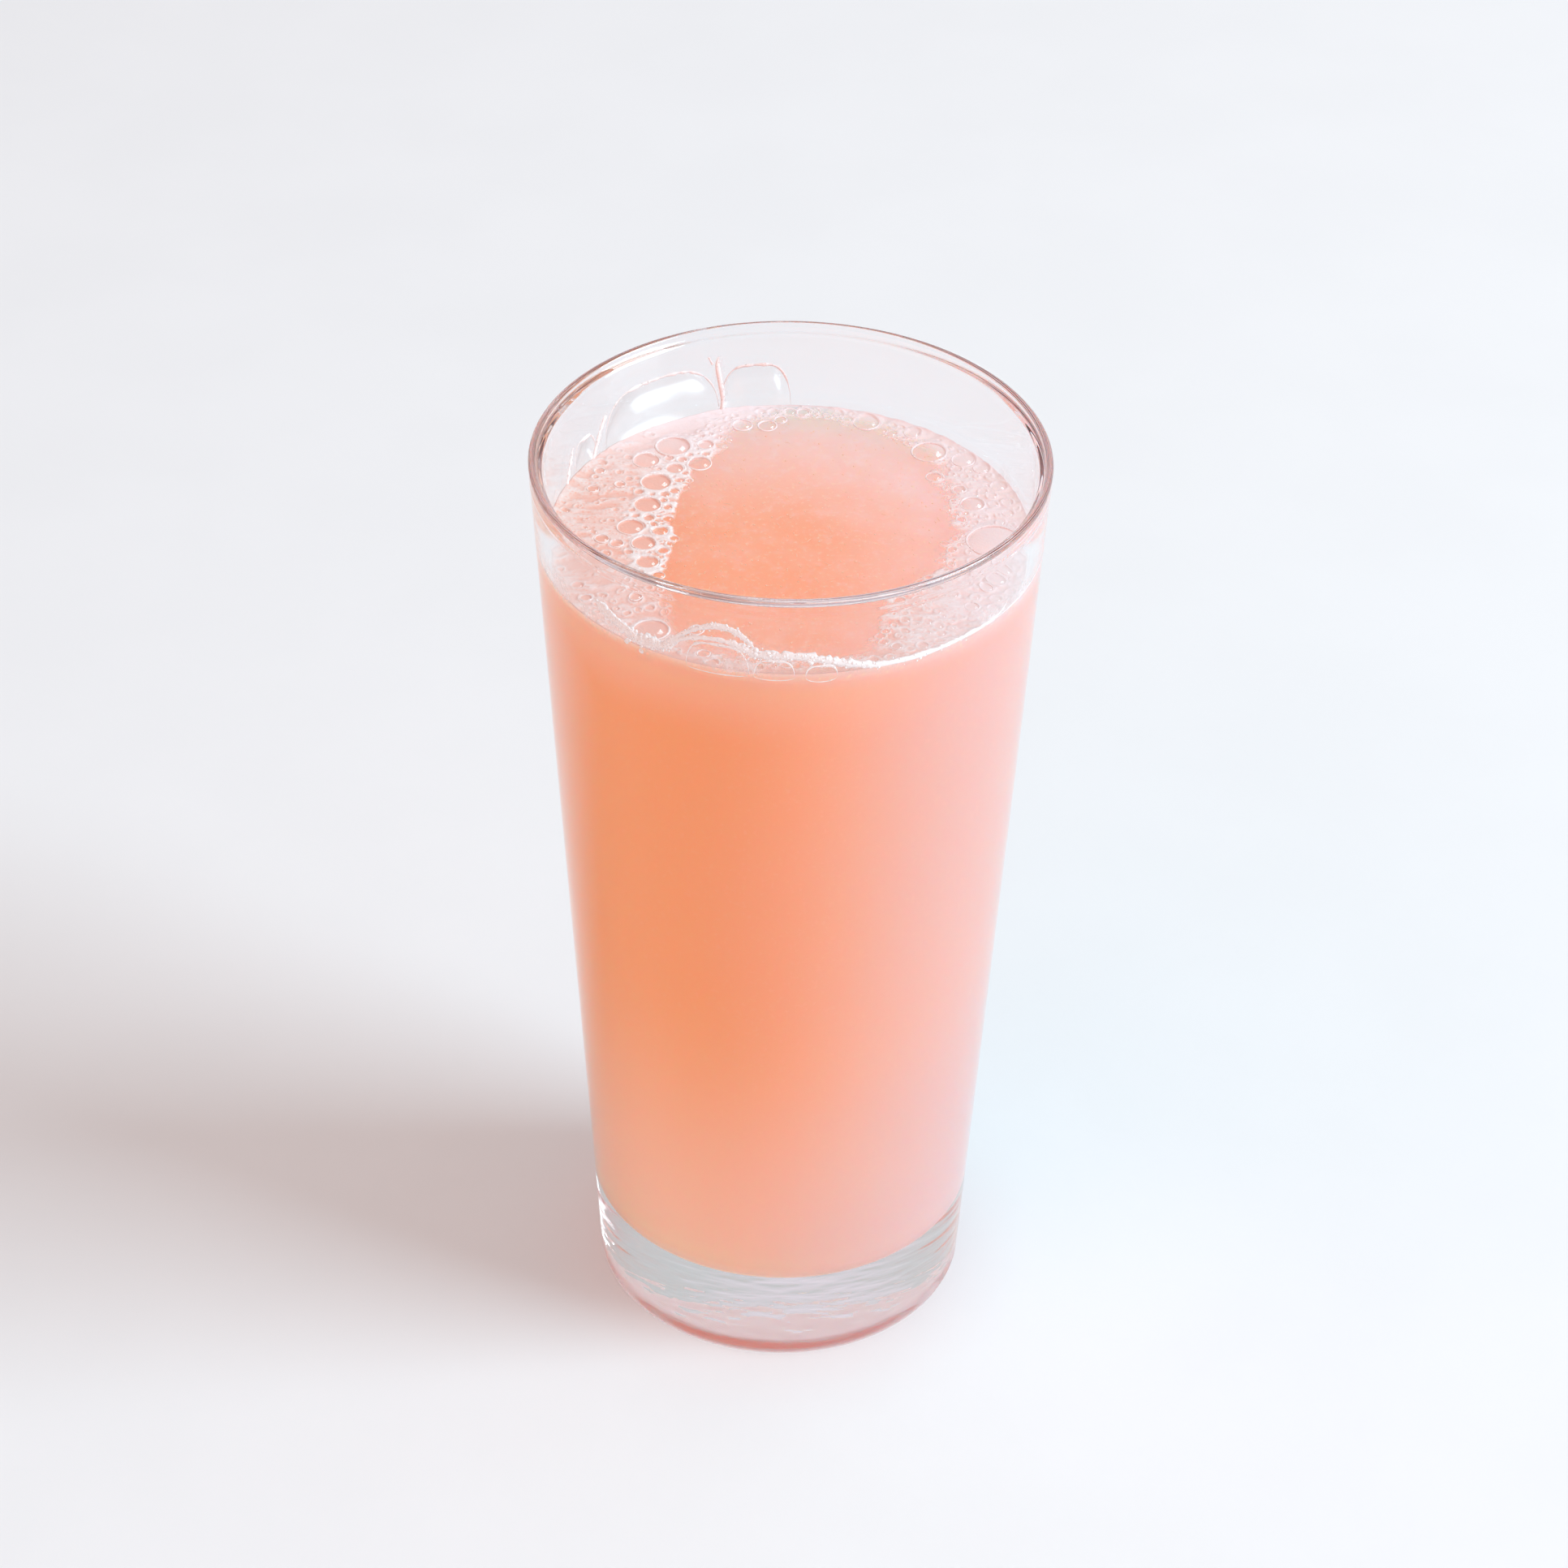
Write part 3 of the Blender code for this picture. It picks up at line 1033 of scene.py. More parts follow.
@dataclass
class Lemonade:
    """The drink: it fills the glass and climbs a little up the wall."""

    tumbler: Tumbler
    level: float
    bite: float = 0.12 * MM
    climb: float = 0.5 * MM
    climb_reach: float = 1.0 * MM
    steps: int = 256

    def top_height(self, radius: Array) -> Array:
        """Height of the open surface.

        It is the level, plus a climb that dies away from the wall by e for
        each climb_reach.
        """
        away = self.tumbler.inner(self.level) - radius
        return self.level + self.climb * np.exp(-np.maximum(away, 0.0) / self.climb_reach)

    def profile(self) -> Array:
        """Lay out the section from the open surface's middle down the wall.

        Returns:
            Radii and heights, as points by 2.
        """
        edge = self.tumbler.inner(self.level + self.climb)
        radii = edge * (1.0 - (1.0 - np.linspace(0.0, 1.0, 70)) ** 1.6)
        top = np.stack([radii, self.top_height(radii)], axis=-1)
        corner_arc = arc_points(self.tumbler.corner_centre(),
                                self.tumbler.inner_corner + self.bite, 0.0, -90.0, 14)
        under = self.tumbler.floor_line(12, -self.bite)[::-1]
        start = np.array([edge + self.bite, self.level + self.climb])
        return np.concatenate([top, start[None],
                               line_points(start, corner_arc[0], 60), corner_arc, under])

    def build(self, material: Material) -> None:
        """Turn the section into the drink.

        Args:
            material: The drink's finish.
        """
        surface = turned(self.profile(), self.steps)
        place_piece(surface, "lemonade", material, "drink")


# Bubbles that stand out in the froth: bearing in degrees, distance from the
# axis and width in millimetres.
STANDING_BUBBLES = (
    (127, 29.3, 5.2), (138, 29.0, 4.0), (126, 23.2, 3.6), (146, 24.0, 4.6),
    (161, 22.2, 4.1), (177, 23.3, 4.0), (188, 21.4, 3.6), (201, 22.0, 3.4),
    (104, 30.6, 3.0), (97, 29.8, 2.8), (70, 33.0, 4.0), (48, 30.8, 5.2),
    (39, 33.0, 3.4), (18, 28.2, 3.6), (-2, 29.7, 8.0), (-128, 31.0, 5.0),
    (118, 27.2, 2.5), (135, 24.4, 2.7), (179, 18.9, 2.4), (168, 18.3, 1.5),
    (187, 25.3, 2.0), (184, 27.4, 2.1), (211, 21.9, 1.8), (93, 31.4, 1.8),
    (113, 28.7, 1.4), (110, 27.4, 1.3), (87, 33.6, 1.9), (57, 33.4, 2.4),
    (33, 33.8, 2.4), (24, 33.6, 2.4), (37, 26.6, 2.4), (27, 28.0, 2.0),
    (18, 24.2, 1.5), (-20, 31.5, 2.6), (-34, 31.0, 2.0), (-118, 27.5, 2.2),
)

# Large bubbles against the wall: bearing in degrees, then half length along the
# wall, reach inwards, height and depth from the level, in millimetres.
WALL_BUBBLES = (
    (125, 10.4, 3.6, 8.4, 0.2), (99, 5.4, 4.2, 7.6, 0.2), (150, 3.0, 3.0, 5.0, 0.2),
    (-106, 4.5, 3.0, 4.6, 0.5), (-93, 2.8, 2.4, 2.8, 0.6),
    (-82.4, 2.2, 2.2, 1.9, 0.9),
)

# Strands of froth on the inner wall, from end to end: bearing in degrees, height
# above the level and half width in millimetres.
WALL_STRANDS = (
    ((-138.5, 4.8, 0.45), (-136.5, 4.0, 0.75), (-133.4, 3.0, 0.60), (-129.9, 2.4, 0.65),
     (-126.8, 1.6, 0.80), (-122.2, 1.7, 0.95), (-118.7, 2.2, 0.75), (-116.3, 3.5, 0.45),
     (-113, 4.7, 0.30), (-109.8, 5.3, 0.28), (-105.9, 5.5, 0.32), (-102.7, 5.2, 0.40),
     (-99.8, 4.4, 0.50), (-97.2, 3.8, 0.62), (-93.6, 3.6, 0.62), (-90, 3.6, 0.62),
     (-85.6, 3.4, 0.60), (-81.3, 2.7, 0.60), (-76.8, 1.9, 0.56), (-72.3, 1.2, 0.50),
     (-69.3, 0.8, 0.45), (-60.3, 0.6, 0.42), (-52.9, 0.7, 0.36), (-46.7, 0.8, 0.30),
     (-40.9, 0.9, 0.24), (-34.4, 1.1, 0.20), (-31, 2.6, 0.16)),
    ((-118.7, 2.6, 0.24), (-115.3, 4.6, 0.30), (-112, 6.2, 0.30), (-109.8, 7.0, 0.32),
     (-106.7, 7.7, 0.36), (-103.7, 7.7, 0.40), (-101.5, 7.2, 0.38), (-99.4, 6.2, 0.34),
     (-97.6, 5.0, 0.34)),
    ((-134.5, 4.2, 0.28), (-131.5, 3.2, 0.36), (-128.0, 2.4, 0.30), (-125.0, 1.4, 0.30)),
    ((107.6, -0.2, 0.30), (107.2, 2.6, 0.26), (107.8, 5.4, 0.28), (108.4, 8.2, 0.24),
     (108.0, 9.6, 0.10)),
    ((109.5, 8.4, 0.14), (110.6, 9.8, 0.10)),
    ((160, 0.3, 0.30), (157.5, 3.0, 0.26), (155.0, 5.2, 0.20)),
    ((147, 0.2, 0.26), (144.5, 3.2, 0.30), (141.0, 6.4, 0.20)),
)

# Stretches of froth on the drink, the closed band, the loose froth at the left,
# at the back, at the right and in front: how thick it lies, from 0 to 1, then the
# stretch's middle, half width and soft ends in degrees.
FROTH_STRETCHES = (
    (1.0, 163.0, 42.0, 14.0), (0.50, 178.0, 44.0, 20.0), (0.52, 84.0, 26.0, 12.0),
    (0.60, 0.0, 60.0, 16.0), (0.60, -88.0, 60.0, 12.0),
)

# Stretches of residue on the inner wall: how dirty the wall is there, from 0 to
# 1, then the stretch's middle, half width and soft ends in degrees.
RESIDUE_STRETCHES = (
    (0.45, -38.0, 16.0, 16.0), (0.60, -132.0, 34.0, 14.0), (0.18, -90.0, 40.0, 12.0),
    (0.40, 165.0, 22.0, 12.0), (0.60, 74.0, 30.0, 14.0), (0.25, 20.0, 40.0, 20.0),
)
LEAST_RESIDUE = 0.06


class Ring(NamedTuple):
    """A bubble seen from above: centre and radius in metres."""

    x: float
    y: float
    radius: float


@dataclass
class Froth:
    """The froth on the drink, its bubbles and what clings to the wall."""

    drink: Lemonade
    open_radius: float = 26.2 * MM
    open_shift: float = 3.2 * MM
    open_oval: float = 6.0 * MM
    open_limit: float = 32.5 * MM
    tongues: tuple[tuple[float, float, float], ...] = ((125.0, 4.0, 22.0), (312.0, 6.5, 26.0))
    fill_count: int = 330
    fill_widths: tuple[float, float] = (1.9 * MM, 0.45 * MM)
    bed_places: tuple[int, int] = (900, 110)
    bed_lap: float = 2.2 * MM
    thickness: float = 0.42 * MM
    small_bubble: float = 0.6 * MM
    rimmed_bubble: float = 0.8 * MM
    tries: int = 60
    least_gap: float = 0.12 * MM
    wall_gap: float = 0.3 * MM
    dome_lap: float = 1.04
    dome_rises: tuple[float, float] = (0.75, 0.9)
    film_gap: float = 0.03 * MM
    strand_sunk: float = 0.18 * MM
    strand_reach: float = 0.45 * MM
    veil_below: float = 3.0 * MM
    veil_height: float = 14.0 * MM
    seed: int = 11
    rings: list[Ring] = field(default_factory=list)

    def __post_init__(self) -> None:
        """Place the standing bubbles, then fill the froth between them."""
        for bearing, distance, width in STANDING_BUBBLES:
            turn = math.radians(bearing)
            self.rings.append(Ring(distance * MM * math.cos(turn),
                                   distance * MM * math.sin(turn), 0.5 * width * MM))
        self.fill_between()

    def inner_edge(self, bearing: Array) -> Array:
        """Distance from the axis of the froth's inner edge.

        The open middle is an oval, wider from front to back, shifted to +X,
        less two tongues of froth, plus two fine ripples. A tongue is a bell
        over the bearing, listed as its middle, its depth in millimetres and
        its spread.

        Args:
            bearing: Bearings in radians.

        Returns:
            The distances.
        """
        degrees = np.degrees(bearing) % 360.0
        tongue = sum(depth * MM * np.exp(-((degrees - middle) / spread) ** 2)
                     for middle, depth, spread in self.tongues)
        ripple = 0.6 * MM * np.sin(9.0 * bearing) + 0.4 * MM * np.sin(17.0 * bearing + 1.0)
        oval = self.open_shift * np.cos(bearing) - self.open_oval * np.cos(2.0 * bearing)
        return np.minimum(self.open_radius + oval - tongue + ripple, self.open_limit)

    def cover(self, x: Array, y: Array) -> Array:
        """How thick the froth lies, from 0 to 1.

        The froth is a closed band at the left, thins out to wisps towards
        the wall there, and lies loosely along the back, right and front wall.
        At the front it stays a little way off the wall.

        Args:
            x: First coordinates.
            y: Second coordinates.

        Returns:
            The largest of the stretches at each place.
        """
        bearing, radius = np.arctan2(y, x), np.hypot(x, y)
        depth = (radius - self.inner_edge(bearing)) / MM
        gap = (self.drink.tumbler.inner(self.drink.level) - radius) / MM
        band, left, back, right, front = (amount * lobe(np.degrees(bearing), *stretch)
                                          for amount, *stretch in FROTH_STRETCHES)
        stretches = [band * (1.0 - smooth_step(5.0, 9.0, depth)), left,
                     back * (1.0 - smooth_step(2.0, 6.5, gap)), right,
                     front * (1.0 - smooth_step(2.0, 6.0, gap)) * smooth_step(-0.5, 2.5, gap)]
        return np.maximum.reduce(stretches) * smooth_step(-0.8, 0.8, depth)

    def fill_between(self) -> None:
        """Fill the froth with ever smaller bubbles, each clear of the others."""
        draw = random.Random(self.seed)
        wall = self.drink.tumbler.inner(self.drink.level)
        for i in range(self.fill_count):
            share = (i / self.fill_count) ** 0.6
            radius = 0.5 * (self.fill_widths[0] * (1.0 - share) + self.fill_widths[1] * share)
            placed = np.array(self.rings)
            for _ in range(self.tries):
                turn = draw.uniform(0.0, 2.0 * math.pi)
                low = float(self.inner_edge(np.array(turn)))
                distance = draw.uniform(low, wall - radius - self.wall_gap)
                x, y = distance * math.cos(turn), distance * math.sin(turn)
                if draw.random() > float(self.cover(np.array(x), np.array(y))) ** 3:
                    continue
                clear = np.hypot(placed[:, 0] - x, placed[:, 1] - y) - placed[:, 2] - radius
                if clear.min() > self.least_gap:
                    self.rings.append(Ring(x, y, radius))
                    break

    def ring_marks(self, x: Array, y: Array) -> tuple[Array, Array]:
        """Mark the bubbles' holes and the froth that gathers round them.

        A hole is 1 inside a bubble and fades over its outer tenth. The froth
        is a bell over the distance from a bubble's edge, wider round the
        larger ones.

        Args:
            x: First coordinates.
            y: Second coordinates.

        Returns:
            The holes' mark and the gathered froth's mark.
        """
        hole, web = np.zeros(x.shape), np.zeros(x.shape)
        for ring in self.rings:
            away = np.hypot(x - ring.x, y - ring.y) - ring.radius
            clear = min(ring.radius / (0.8 * MM), 1.0) ** 0.5
            hole = np.maximum(hole, clear * (1.0 - smooth_step(-0.16 * MM, 0.04 * MM, away)))
            reach = 0.16 * MM + 0.28 * ring.radius
            web = np.maximum(web, np.exp(-(np.maximum(away, 0.0) / reach) ** 2))
        return hole, web

    def foam_at(self, x: Array, y: Array) -> Array:
        """How white the froth is at each place, from 0 to 1.

        Wisps are layered noise stretched across the froth. They and the froth
        round the bubbles are scaled by the cover, and the holes cut out. At
        the right and the back, a milky layer lies over all of it.

        Args:
            x: First coordinates.
            y: Second coordinates.

        Returns:
            The foam value.
        """
        warp_x = 0.5 * MM * (value_noise(x, y, 1.6 * MM, 91) - 0.5)
        warp_y = 0.5 * MM * (value_noise(x, y, 1.6 * MM, 92) - 0.5)
        hole, web = self.ring_marks(x + warp_x, y + warp_y)
        cover = self.cover(x + 3.0 * warp_x, y + 3.0 * warp_y)
        wisp = layered_noise(x + 2.0 * y, 3.0 * y - x, 4.0 * MM, 5)
        lace = layered_noise(x, y, 0.9 * MM, 17)
        body = cover * (0.45 + 0.75 * smooth_step(0.25, 0.75, wisp)) * (0.75 + 0.5 * lace)
        gathered = web * np.sqrt(cover)
        bearing = np.arctan2(y, x)
        inwards = smooth_step(-1.5 * MM, 7.0 * MM, np.hypot(x, y) - self.inner_edge(bearing))
        milk = lobe(np.degrees(bearing), 16.0, 76.0, 24.0) * inwards
        layer = milk * (0.2 + 0.6 * smooth_step(0.2, 0.8, 0.6 * wisp + 0.4 * lace))
        body = np.clip(np.maximum.reduce([body, gathered, layer]), 0.0, 1.0)
        return body * (1.0 - hole * (1.0 - 0.5 * milk))

    def build_bed(self, material: Material) -> None:
        """Build the bed of fine froth.

        At bearing b and share s of the way from inside the inner edge to the
        wall, its top stands over the drink's surface by its thickness times
        the foam value, and its underside lies a little way below.

        Args:
            material: The froth's finish.
        """
        tumbler, drink = self.drink.tumbler, self.drink
        places, steps = self.bed_places
        bearing = full_turn(places)[:, None]
        inner = self.inner_edge(bearing) - self.bed_lap
        wall = tumbler.inner(drink.level + drink.climb) + 0.5 * drink.bite
        radius = inner + (wall - inner) * np.linspace(0.0, 1.0, steps)
        x, y = radius * np.cos(bearing), radius * np.sin(bearing)
        foam = self.foam_at(x, y)
        skin = 0.9 * smooth_step(0.6 * MM, 3.6 * MM, radius - self.inner_edge(bearing))
        top = drink.top_height(radius) + 0.03 * MM + self.thickness * foam
        under = np.full(bearing.shape, drink.level - 0.25 * MM)
        x, y, foam, skin = (np.concatenate([v, v[:, -1:], v[:, :1]], axis=1)
                            for v in (x, y, foam, skin))
        z = np.concatenate([top, under, under], axis=1)
        surface = Surface.from_rings(np.stack([x, y, z], axis=-1), looped=True)
        surface.facing_out().with_field(FOAM_FIELD, foam.ravel())
        surface.with_field(SKIN_FIELD, skin.ravel())
        place_piece(surface, "froth_bed", material, "froth")

    def dome_frames(self, rings: Sequence[Ring], rise: float) -> tuple[Array, Array]:
        """Axis vectors and centres of domes that stand on the drink.

        Args:
            rings: The bubbles.
            rise: Height of a dome as a share of its radius.

        Returns:
            Frames, as bubbles by 3 by 3, and centres, as bubbles by 3.
        """
        table = np.array(rings)
        frames = np.zeros((len(table), 3, 3))
        frames[:, 0, 0] = frames[:, 1, 1] = self.dome_lap * table[:, 2]
        frames[:, 2, 2] = rise * table[:, 2]
        centres = np.stack([table[:, 0], table[:, 1],
                            np.full(len(table), self.drink.level + 0.1 * MM)], axis=-1)
        return frames, centres

    def build_domes(self, material: Material) -> None:
        """Build the clear domes of all the bubbles as one mesh of ellipsoids.

        Args:
            material: The film's finish.
        """
        large = [r for r in self.rings if r.radius > self.small_bubble]
        small = [r for r in self.rings if r.radius <= self.small_bubble]
        parts = [unit_ball(*fineness).repeated(*self.dome_frames(rings, rise))
                 for fineness, rings, rise in zip(((36, 20), (12, 8)), (large, small),
                                                  self.dome_rises)]
        place_piece(Surface.merged(parts), "bubble_domes", material)

    def build_rims(self, material: Material) -> None:
        """Build the white rims where the larger films meet the froth.

        Each is a ring round the bubble's foot: at angle a the ring's radius
        and thickness waver by noise, so that no two rims are alike.

        Args:
            material: The froth's finish.
        """
        angle = full_turn(60)[:, None]
        around = full_turn(8)[None, :]
        parts = []
        rimmed = [r for r in self.rings if r.radius > self.rimmed_bubble]
        for k, ring in enumerate(rimmed):
            waver = value_noise(np.cos(angle) + 7.0 * k, np.sin(angle), 0.7, 61) - 0.5
            thick = (0.07 * MM + 0.03 * ring.radius) * (1.0 + 1.2 * waver)
            radius = ring.radius * (1.0 + 0.04 * waver) + thick * np.cos(around)
            height = self.drink.level + 0.3 * MM + thick * np.sin(around)
            rings = polar(radius, angle, height) + (ring.x, ring.y, 0.0)
            parts.append(Surface.from_rings(rings, looped=True).facing_out())
        surface = Surface.merged(parts).with_field(FOAM_FIELD, 0.8)
        place_piece(surface, "bubble_rims", material)

    def bubble_arch(self, bubble: Sequence[float], steps: int) -> tuple[Array, Array, Array]:
        """The outline of a wall bubble: bearing, height and reach along it.

        At place p from -1 to 1 the height and the reach are those in the
        middle times the square root of one less the fourth power of p.

        Args:
            bubble: A row of WALL_BUBBLES.
            steps: Places along it.

        Returns:
            Bearings in radians, heights above the level and reaches.
        """
        middle, half_length, reach, height, _ = bubble
        place = np.linspace(-1.0, 1.0, steps)
        arch = np.sqrt(np.clip(1.0 - place ** 4, 0.0, 1.0))
        radius = self.drink.tumbler.inner(self.drink.level)
        bearing = math.radians(middle) + place * half_length * MM / radius
        return bearing, height * MM * arch, reach * MM * arch

    def build_wall_bubbles(self, material: Material) -> None:
        """Build the films of the bubbles that lean on the wall.

        The section at each place along a bubble is a quarter ellipse from
        the drink up to the wall, closed along the wall and the drink.

        Args:
            material: The film's finish.
        """
        tumbler, level = self.drink.tumbler, self.drink.level
        climb = np.radians(np.linspace(0.0, 90.0, 17))
        parts = []
        for bubble in WALL_BUBBLES:
            bearing, height, reach = (v[:, None] for v in self.bubble_arch(bubble, 62))
            foot = level - 0.2 * MM
            z = foot + (height + 0.2 * MM) * np.sin(climb)
            distance = tumbler.inner(z) - self.film_gap - reach * np.cos(climb)
            z = np.concatenate([z, np.full_like(height, foot)], axis=1)
            distance = np.concatenate(
                [distance, np.full_like(height, tumbler.inner(foot) - self.film_gap)], axis=1)
            parts.append(Surface.closed_tube(polar(distance, bearing, z)))
        place_piece(Surface.merged(parts), "wall_bubbles", material)

    def wall_strand(self, path: Array, thick: Array) -> Surface:
        """Carry a flattened round section along a path on the inner wall.

        The section is half as deep as it is wide, and sits a little way in
        the wall, so that no gap shows behind it.

        Args:
            path: Bearings in radians and heights, as points by 2.
            thick: Half width of the strand at each point.

        Returns:
            The strand, closed at both ends.
        """
        inner = self.drink.tumbler.inner
        around = full_turn(10)
        radius = inner(path[:, 1])
        along = np.gradient(np.stack([path[:, 0] * radius, path[:, 1]], axis=-1), axis=0)
        along /= np.linalg.norm(along, axis=1, keepdims=True) + 1e-12
        side = thick[:, None] * np.cos(around)
        bearing = path[:, :1] - side * along[:, 1:] / radius[:, None]
        z = path[:, 1:] + side * along[:, :1]
        distance = inner(z) + self.strand_sunk - 0.5 * thick[:, None] * (1.0 + np.sin(around))
        distance = np.maximum(distance, inner(z) - self.strand_reach)
        return Surface.closed_tube(polar(distance, bearing, z))

    def outline_strands(self) -> list[Surface]:
        """Build the white line where each wall bubble's film meets the wall.

        The upper line follows the bubble's outline. The lower one dips below
        the level by the bubble's depth times the square root of one less the
        square of the place along it, and only the deep bubbles have it.

        Returns:
            The lines, wavering by value noise and tapering at both ends.
        """
        parts = []
        for bubble in WALL_BUBBLES:
            bearing, height, _ = self.bubble_arch(bubble, 70)
            dip = np.linspace(-1.0, 1.0, 70)
            under = -bubble[4] * MM * np.sqrt(1.0 - dip ** 2)
            for rise, width in ((height, 0.24), (under[::-1], 0.08)):
                turn = bearing if rise is height else bearing[::-1]
                if width < 0.1 and bubble[4] < 0.5:
                    continue
                path = np.stack([turn, self.drink.level + rise], axis=-1)
                waver = value_noise(turn * 45.0, rise / MM, 1.0, 83)
                taper = np.sqrt(np.sin(np.linspace(0.02, np.pi - 0.02, 70)))
                parts.append(self.wall_strand(path, width * MM * (0.4 + 1.2 * waver) * taper))
        return parts

    def strand_curves(self) -> list[tuple[Array, Array]]:
        """Lay a smooth curve through each strand's listed points.

        Returns:
            For each strand its bearings in radians and heights, as points by
            2, and its half width at each of them, uneven by value noise.
        """
        curves = []
        for strand in WALL_STRANDS:
            table = np.array(strand, float)
            points = np.stack([np.radians(table[:, 0]), self.drink.level + table[:, 1] * MM,
                               table[:, 2] * MM], axis=-1)
            curve = smooth_path(points, 16)
            waver = value_noise(curve[:, 0] * 70.0, curve[:, 1] / MM, 1.0, 89)
            taper = np.clip(np.sin(np.linspace(0.05, np.pi - 0.05, len(curve))) * 5.0, 0.0, 1.0)
            thick = np.maximum(curve[:, 2], 0.05 * MM) * (0.75 + waver) * taper
            curves.append((curve[:, :2], thick))
        return curves

    def beads(self, path: Array, thick: Array, draw: np.random.Generator) -> Surface:
        """Scatter fine bubbles over a strand and beside it.

        Args:
            path: Bearings in radians and heights, as points by 2.
            thick: Half width of the strand at each point.
            draw: The seeded generator.

        Returns:
            Small balls, each a sixth to a half of the strand's half width.
        """
        inner = self.drink.tumbler.inner
        pick = draw.integers(2, len(path) - 2, len(path))
        spread = draw.normal(0.0, 0.6, (len(pick), 2)) * thick[pick, None]
        z = path[pick, 1] + spread[:, 1]
        bearing = path[pick, 0] + spread[:, 0] / inner(z)
        size = thick[pick] * draw.uniform(0.12, 0.42, len(pick))
        distance = inner(z) + 0.12 * MM - 0.4 * size
        return unit_ball(8, 6).repeated(np.eye(3)[None] * size[:, None, None],
                                        polar(distance, bearing, z))

    def build_strands(self, material: Material) -> None:
        """Build the strands of froth on the wall and round the wall bubbles.

        Their foam value wavers by noise along and across the wall.

        Args:
            material: The froth's finish.
        """
        parts = self.outline_strands()
        draw = np.random.default_rng(self.seed + 5)
        for curve, thick in self.strand_curves():
            parts.append(self.wall_strand(curve, thick))
            parts.append(self.beads(curve, thick, draw))
        surface = Surface.merged(parts)
        x, y, z = surface.points.T
        thickness = value_noise(np.arctan2(y, x) * 35.0 * MM, z, 0.8 * MM, 95)
        surface.with_field(FOAM_FIELD, 0.62 + 0.33 * thickness)
        place_piece(surface, "froth_strands", material)

    def build_veil(self, material: Material) -> None:
        """Build the thin residue that the froth left on the inner wall.

        It is a sheet a few hundredths of a millimetre thick round the wall.
        Its foam value is layered noise in upright streaks, thickest near the
        drink, times how dirty that side of the wall is.

        Args:
            material: The froth's finish.
        """
        inner, level = self.drink.tumbler.inner, self.drink.level
        bearing = full_turn(720)[:, None]
        share = np.linspace(0.0, 1.0, 40)
        z = level - self.veil_below + self.veil_height * share + 0.0 * bearing
        degrees = np.degrees(bearing)
        dirty = np.maximum.reduce([amount * lobe(degrees, *stretch)
                                   for amount, *stretch in RESIDUE_STRETCHES])
        dirty = np.maximum(dirty, LEAST_RESIDUE)
        along = bearing * inner(level)
        streaks = layered_noise(along + 0.3 * z, 0.35 * z, 1.6 * MM, 33)
        patches = layered_noise(along, z, 6.0 * MM, 35)
        reach = (0.3 + 0.7 * patches) * (1.0 - 0.5 * lobe(degrees, 80.0, 40.0, 20.0))
        foam = dirty * smooth_step(0.25, 0.8, 0.5 * streaks + 0.5 * patches) \
            * (1.0 - smooth_step(0.3, 1.0, share / reach))
        lower = smooth_step(0.0, 0.24, share - 0.12 * streaks)
        foam = foam * lower * (1.0 - smooth_step(0.9, 1.0, share))
        for curve, thick in self.strand_curves():
            away = np.hypot(turned_by(bearing, curve[:, 0]) * inner(level),
                            z[..., None] - curve[:, 1])
            halo = np.exp(-(away / (2.2 * thick + 0.3 * MM)) ** 2).max(axis=-1)
            foam = np.maximum(foam, (0.05 + 0.30 * streaks) * halo)
        near, far = inner(z) + 0.15 * MM, inner(z) - 0.05 * MM
        radius = np.concatenate([near, far[:, ::-1]], axis=1)
        z, foam = (np.concatenate([v, v[:, ::-1]], axis=1) for v in (z, foam))
        surface = Surface.from_rings(polar(radius, bearing, z), looped=True).facing_out()
        surface.with_field(FOAM_FIELD, foam.ravel())
        place_piece(surface, "wall_veil", material)


